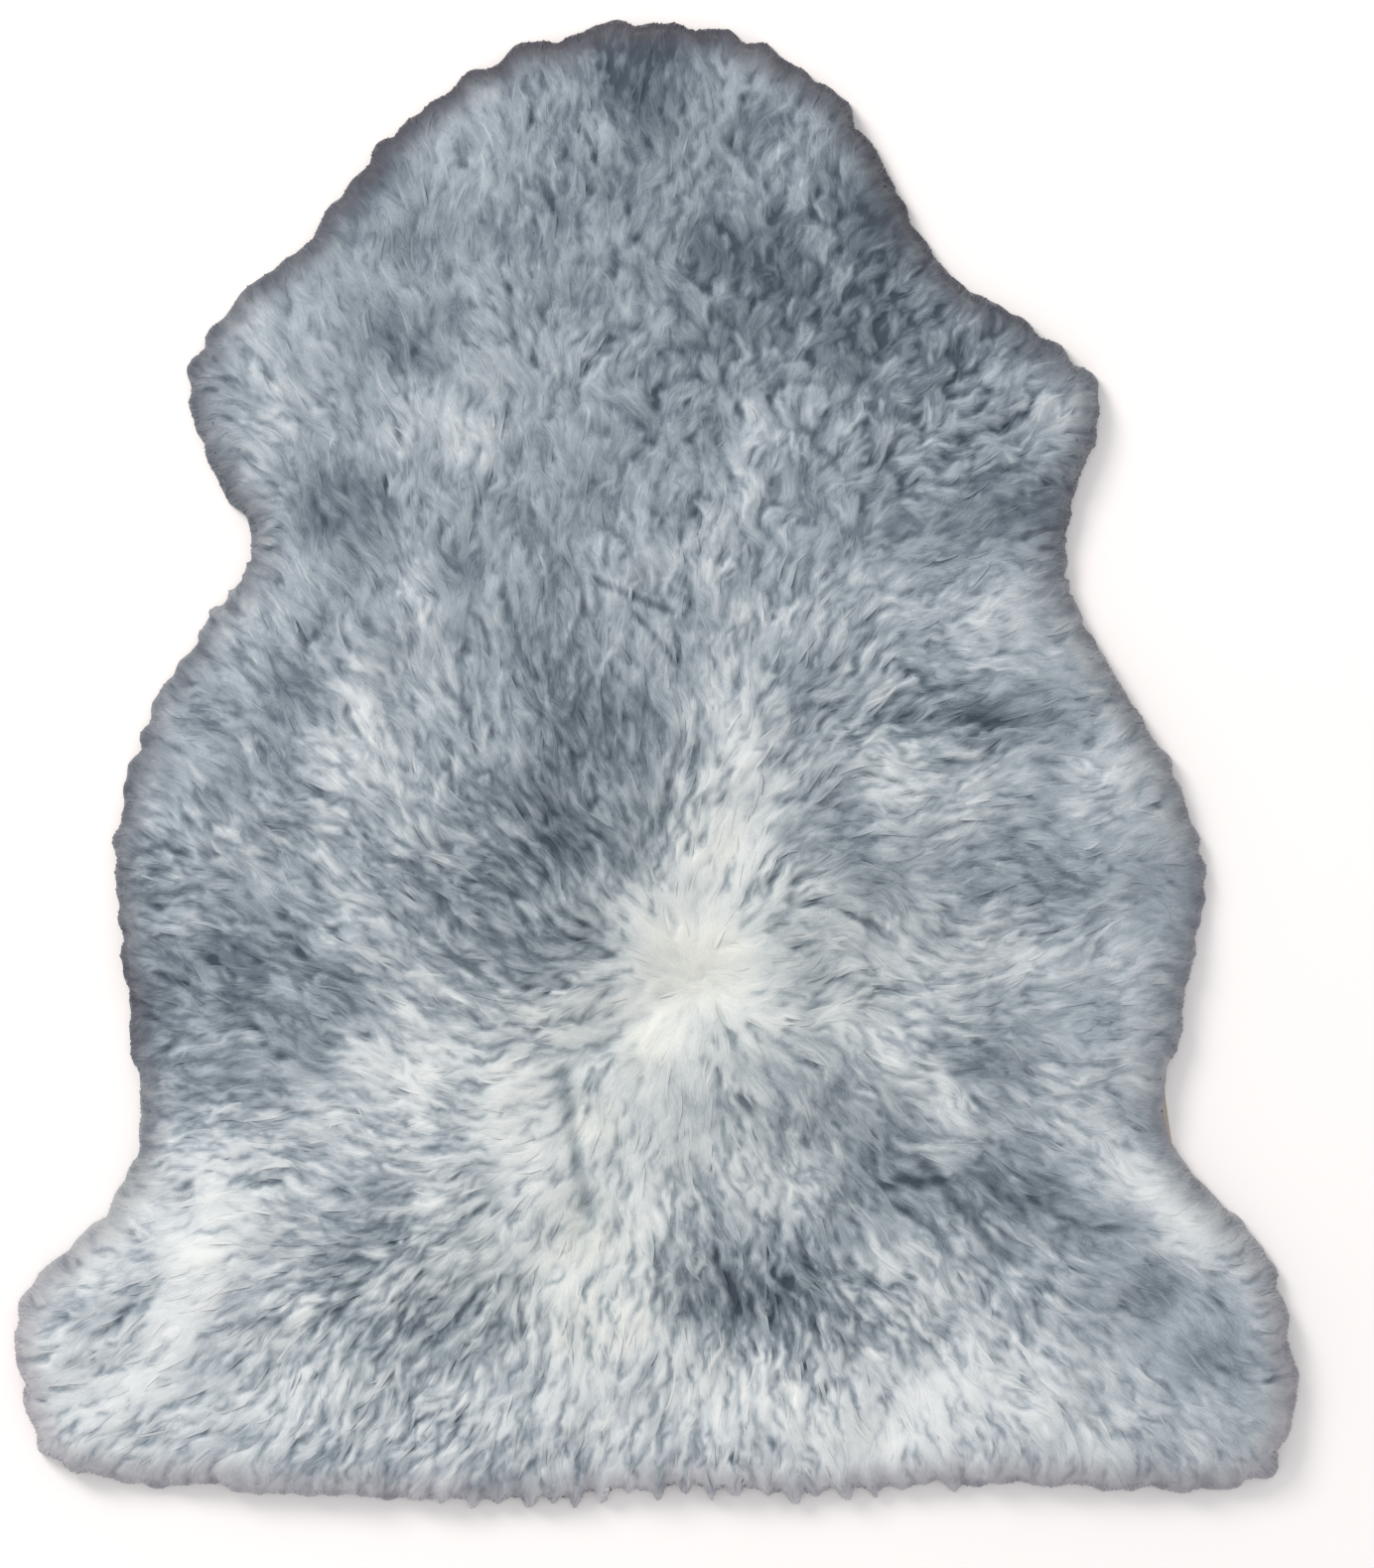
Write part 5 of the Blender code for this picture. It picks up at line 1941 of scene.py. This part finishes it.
    def piece(
        self, points: Array, faced: Array, uv: Array, values: dict[str, Array], material: bpy.types.Material
    ) -> bpy.types.Object:
        """Joins strands into one mesh.

        Args:
            points: each strand's points.
            faced: the way each point faces for shading.
            uv: their places on the fibre pattern.
            values: the numbers that the material reads.
            material: the wool's material.

        Returns:
            The piece.
        """
        count, size = points.shape[:2]
        rings = len(self.stations) - 1
        start = (np.arange(count) * size)[:, None, None]
        corner, ahead = np.arange(3), (np.arange(3) + 1) % 3
        low = 3 * np.arange(rings - 1)[:, None]
        quads = np.stack([low + corner, low + ahead, low + 3 + ahead, low + 3 + corner], axis=-1)
        last = 3 * (rings - 1)
        tips = np.stack([last + corner, last + ahead, np.full(3, size - 1)], axis=1)
        tris = np.vstack([tips, [[2, 1, 0]]])
        blocks = [(start + tris).reshape(-1, 3), (start + quads.reshape(-1, 4)).reshape(-1, 4)]
        piece = new_piece(self.name, points.reshape(-1, 3), blocks, material)
        piece.data.normals_split_custom_set_from_vertices(faced.reshape(-1, 3))
        for key, value in values.items():
            set_values(piece, key, value)
        layer = piece.data.uv_layers.new(name="fibre")
        index = np.zeros(len(piece.data.loops), np.int32)
        piece.data.loops.foreach_get("vertex_index", index)
        layer.data.foreach_set("uv", uv.reshape(-1, 2)[index].astype(np.float32).ravel())
        return piece


@dataclass
class RimLocks(Locks):
    """Short locks round the rim, from inside its slope to the floor.

    Attributes:
        rows: how many rows of them there are along the edge.
        row_step: how far apart the rows are.
        row_count: how many locks there are in a row.
        row_shift: how far along each row is from the one before, as a share of a step.
        cut_most: none grows where the cut edge shows more than this.
    """

    name: str = "wool_rim_locks"
    seed: int = 47
    stations: tuple[float, ...] = (0.0, 0.4, 0.75, 1.0)
    widths: tuple[float, ...] = (0.8, 1.0, 0.7)
    lie: tuple[float, ...] = (-1.0 * MM, 0.3 * MM, 0.2 * MM, -2.0 * MM)
    length: float = 12 * MM
    width: float = 2.8 * MM
    thickness: float = 0.8 * MM
    gathering: float = 0.2
    fringe: float = 5 * MM
    past_edge: float = 1.2 * MM
    edge_inset: float = 4 * MM
    rows: int = 2
    row_step: float = 3 * MM
    row_count: int = 1300
    row_shift: float = 0.38
    cut_most: float = 0.3

    def roots(self) -> Array:
        """Where they grow: in rows along the edge, a little unevenly."""
        rng = np.random.default_rng(self.seed)
        env = self.top.pile.envelope
        rings = [
            env.ring(self.edge_inset + self.row_step * row, self.row_count, self.row_shift * row)
            for row in range(self.rows)
        ]
        roots = np.vstack(rings)
        roots += rng.uniform(-1, 1, roots.shape) * MM
        return roots[self.top.rim.around(self.top.rim.cut, roots) < self.cut_most]

    def heights(self, line: Array, rng: np.random.Generator) -> Array:
        """The stations' heights, with the outermost tips down near the floor.

        Args:
            line: the centre lines, seen from above.
            rng: where chances come from.

        Returns:
            The heights, by strand and station.
        """
        heights = super().heights(line, rng)
        spare = self.top.rim.spare(line[:, -1])
        down = smoothstep(3 * MM, 0.5 * MM, spare)
        low = self.floor_gap + rng.uniform(0, 1.5 * MM, len(line))
        heights[:, -1] += (low - heights[:, -1]) * down
        return heights


@dataclass
class Studio:
    """A pale floor, soft light from the upper left and a camera straight above.

    Attributes:
        frame_height: the height of the floor that the picture takes in, its pixels times the size of one.
        offset: where the picture's middle lies.
        distance: how far the camera is above the wool.
        aimed_height: the height at which that scale holds.
        sensor: the camera's sensor, in millimetres.
    """

    frame_height: float = 1579 * 0.6667 * MM
    offset: Pair = (20 * MM, -13.7 * MM)
    distance: float = 3.2
    aimed_height: float = 12 * MM
    sensor: float = 36.0

    def camera(self) -> None:
        """Puts the camera above the rug, with the neck at the top of the picture."""
        data = bpy.data.cameras.new("camera")
        data.sensor_width = self.sensor
        data.lens = self.sensor * self.distance / self.frame_height
        camera = bpy.data.objects.new("camera", data)
        camera.location = (*self.offset, self.aimed_height + self.distance)
        bpy.context.scene.collection.objects.link(camera)
        bpy.context.scene.camera = camera

    def area_light(self, name: str, place: Vector, size: float, power: float, colour: str) -> None:
        """Adds a square light that faces the rug.

        Args:
            name: the light's name.
            place: where it hangs.
            size: its side.
            power: its power in watts.
            colour: its colour.
        """
        data = bpy.data.lights.new(name, "AREA")
        data.size, data.energy, data.color = size, power, linear(colour)[:3]
        light = bpy.data.objects.new(name, data)
        light.location = place
        light.rotation_euler = (-place).to_track_quat("-Z", "Y").to_euler()
        bpy.context.scene.collection.objects.link(light)

    def light(self) -> None:
        """A large key light from the upper left, and an even pale world."""
        self.area_light("key", Vector((-1.9, 2.0, 2.6)), 1.3, 85, "fffaf5")
        world = bpy.data.worlds.new("studio")
        world.use_nodes = True
        world.node_tree.nodes.clear()
        shade = add_node(world.node_tree, "Background", {"Color": linear("f7f7f8"), "Strength": 0.82})
        add_node(world.node_tree, "OutputWorld", {}, {"Surface": shade.outputs[0]})
        bpy.context.scene.world = world
        bpy.context.scene.view_settings.view_transform = "Standard"

    def floor(self) -> None:
        """A plain matt floor, near white."""
        side = 6.0
        corners = np.array([[-1, -1, 0], [1, -1, 0], [1, 1, 0], [-1, 1, 0]]) * side
        material, tree = new_material("floor_paint")
        shader = add_node(tree, "BsdfPrincipled", {"Base Color": linear("fbf8f7"), "Roughness": 0.9})
        add_node(tree, "OutputMaterial", {}, {"Surface": shader.outputs[0]})
        new_piece("floor", corners, [np.array([[0, 1, 2, 3]])], material)


def main() -> None:
    """Builds the rug's pieces in order and dresses the studio."""
    studio = Studio()
    studio.camera()
    studio.light()
    studio.floor()

    pile = Pile(Envelope())
    log.info("envelope: %d x %d grid", *pile.envelope.grid.shape)

    wool = DyedWool().material()
    rim = Rim(pile.envelope)
    top = CombedTop(pile, rim)
    beds = WoolSurface(top).build(wool)
    locks = [kind(top).build(wool) for kind in (Locks, RimLocks)]
    for piece in (*beds, *locks):
        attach(piece, BODY)
        log.info("%s: %d faces", piece.name, len(piece.data.polygons))
    for piece in beds:
        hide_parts("fleece")

    hide = Hide()
    skin = hide.build()
    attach(skin, BODY)
    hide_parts("hide")
    hide.flat_area()
    log.info("%s: %.3f square metres", skin.name, hide.flat_area())


if __name__ == "__main__":
    logging.basicConfig(level=logging.INFO, format="%(name)s %(message)s")
    main()
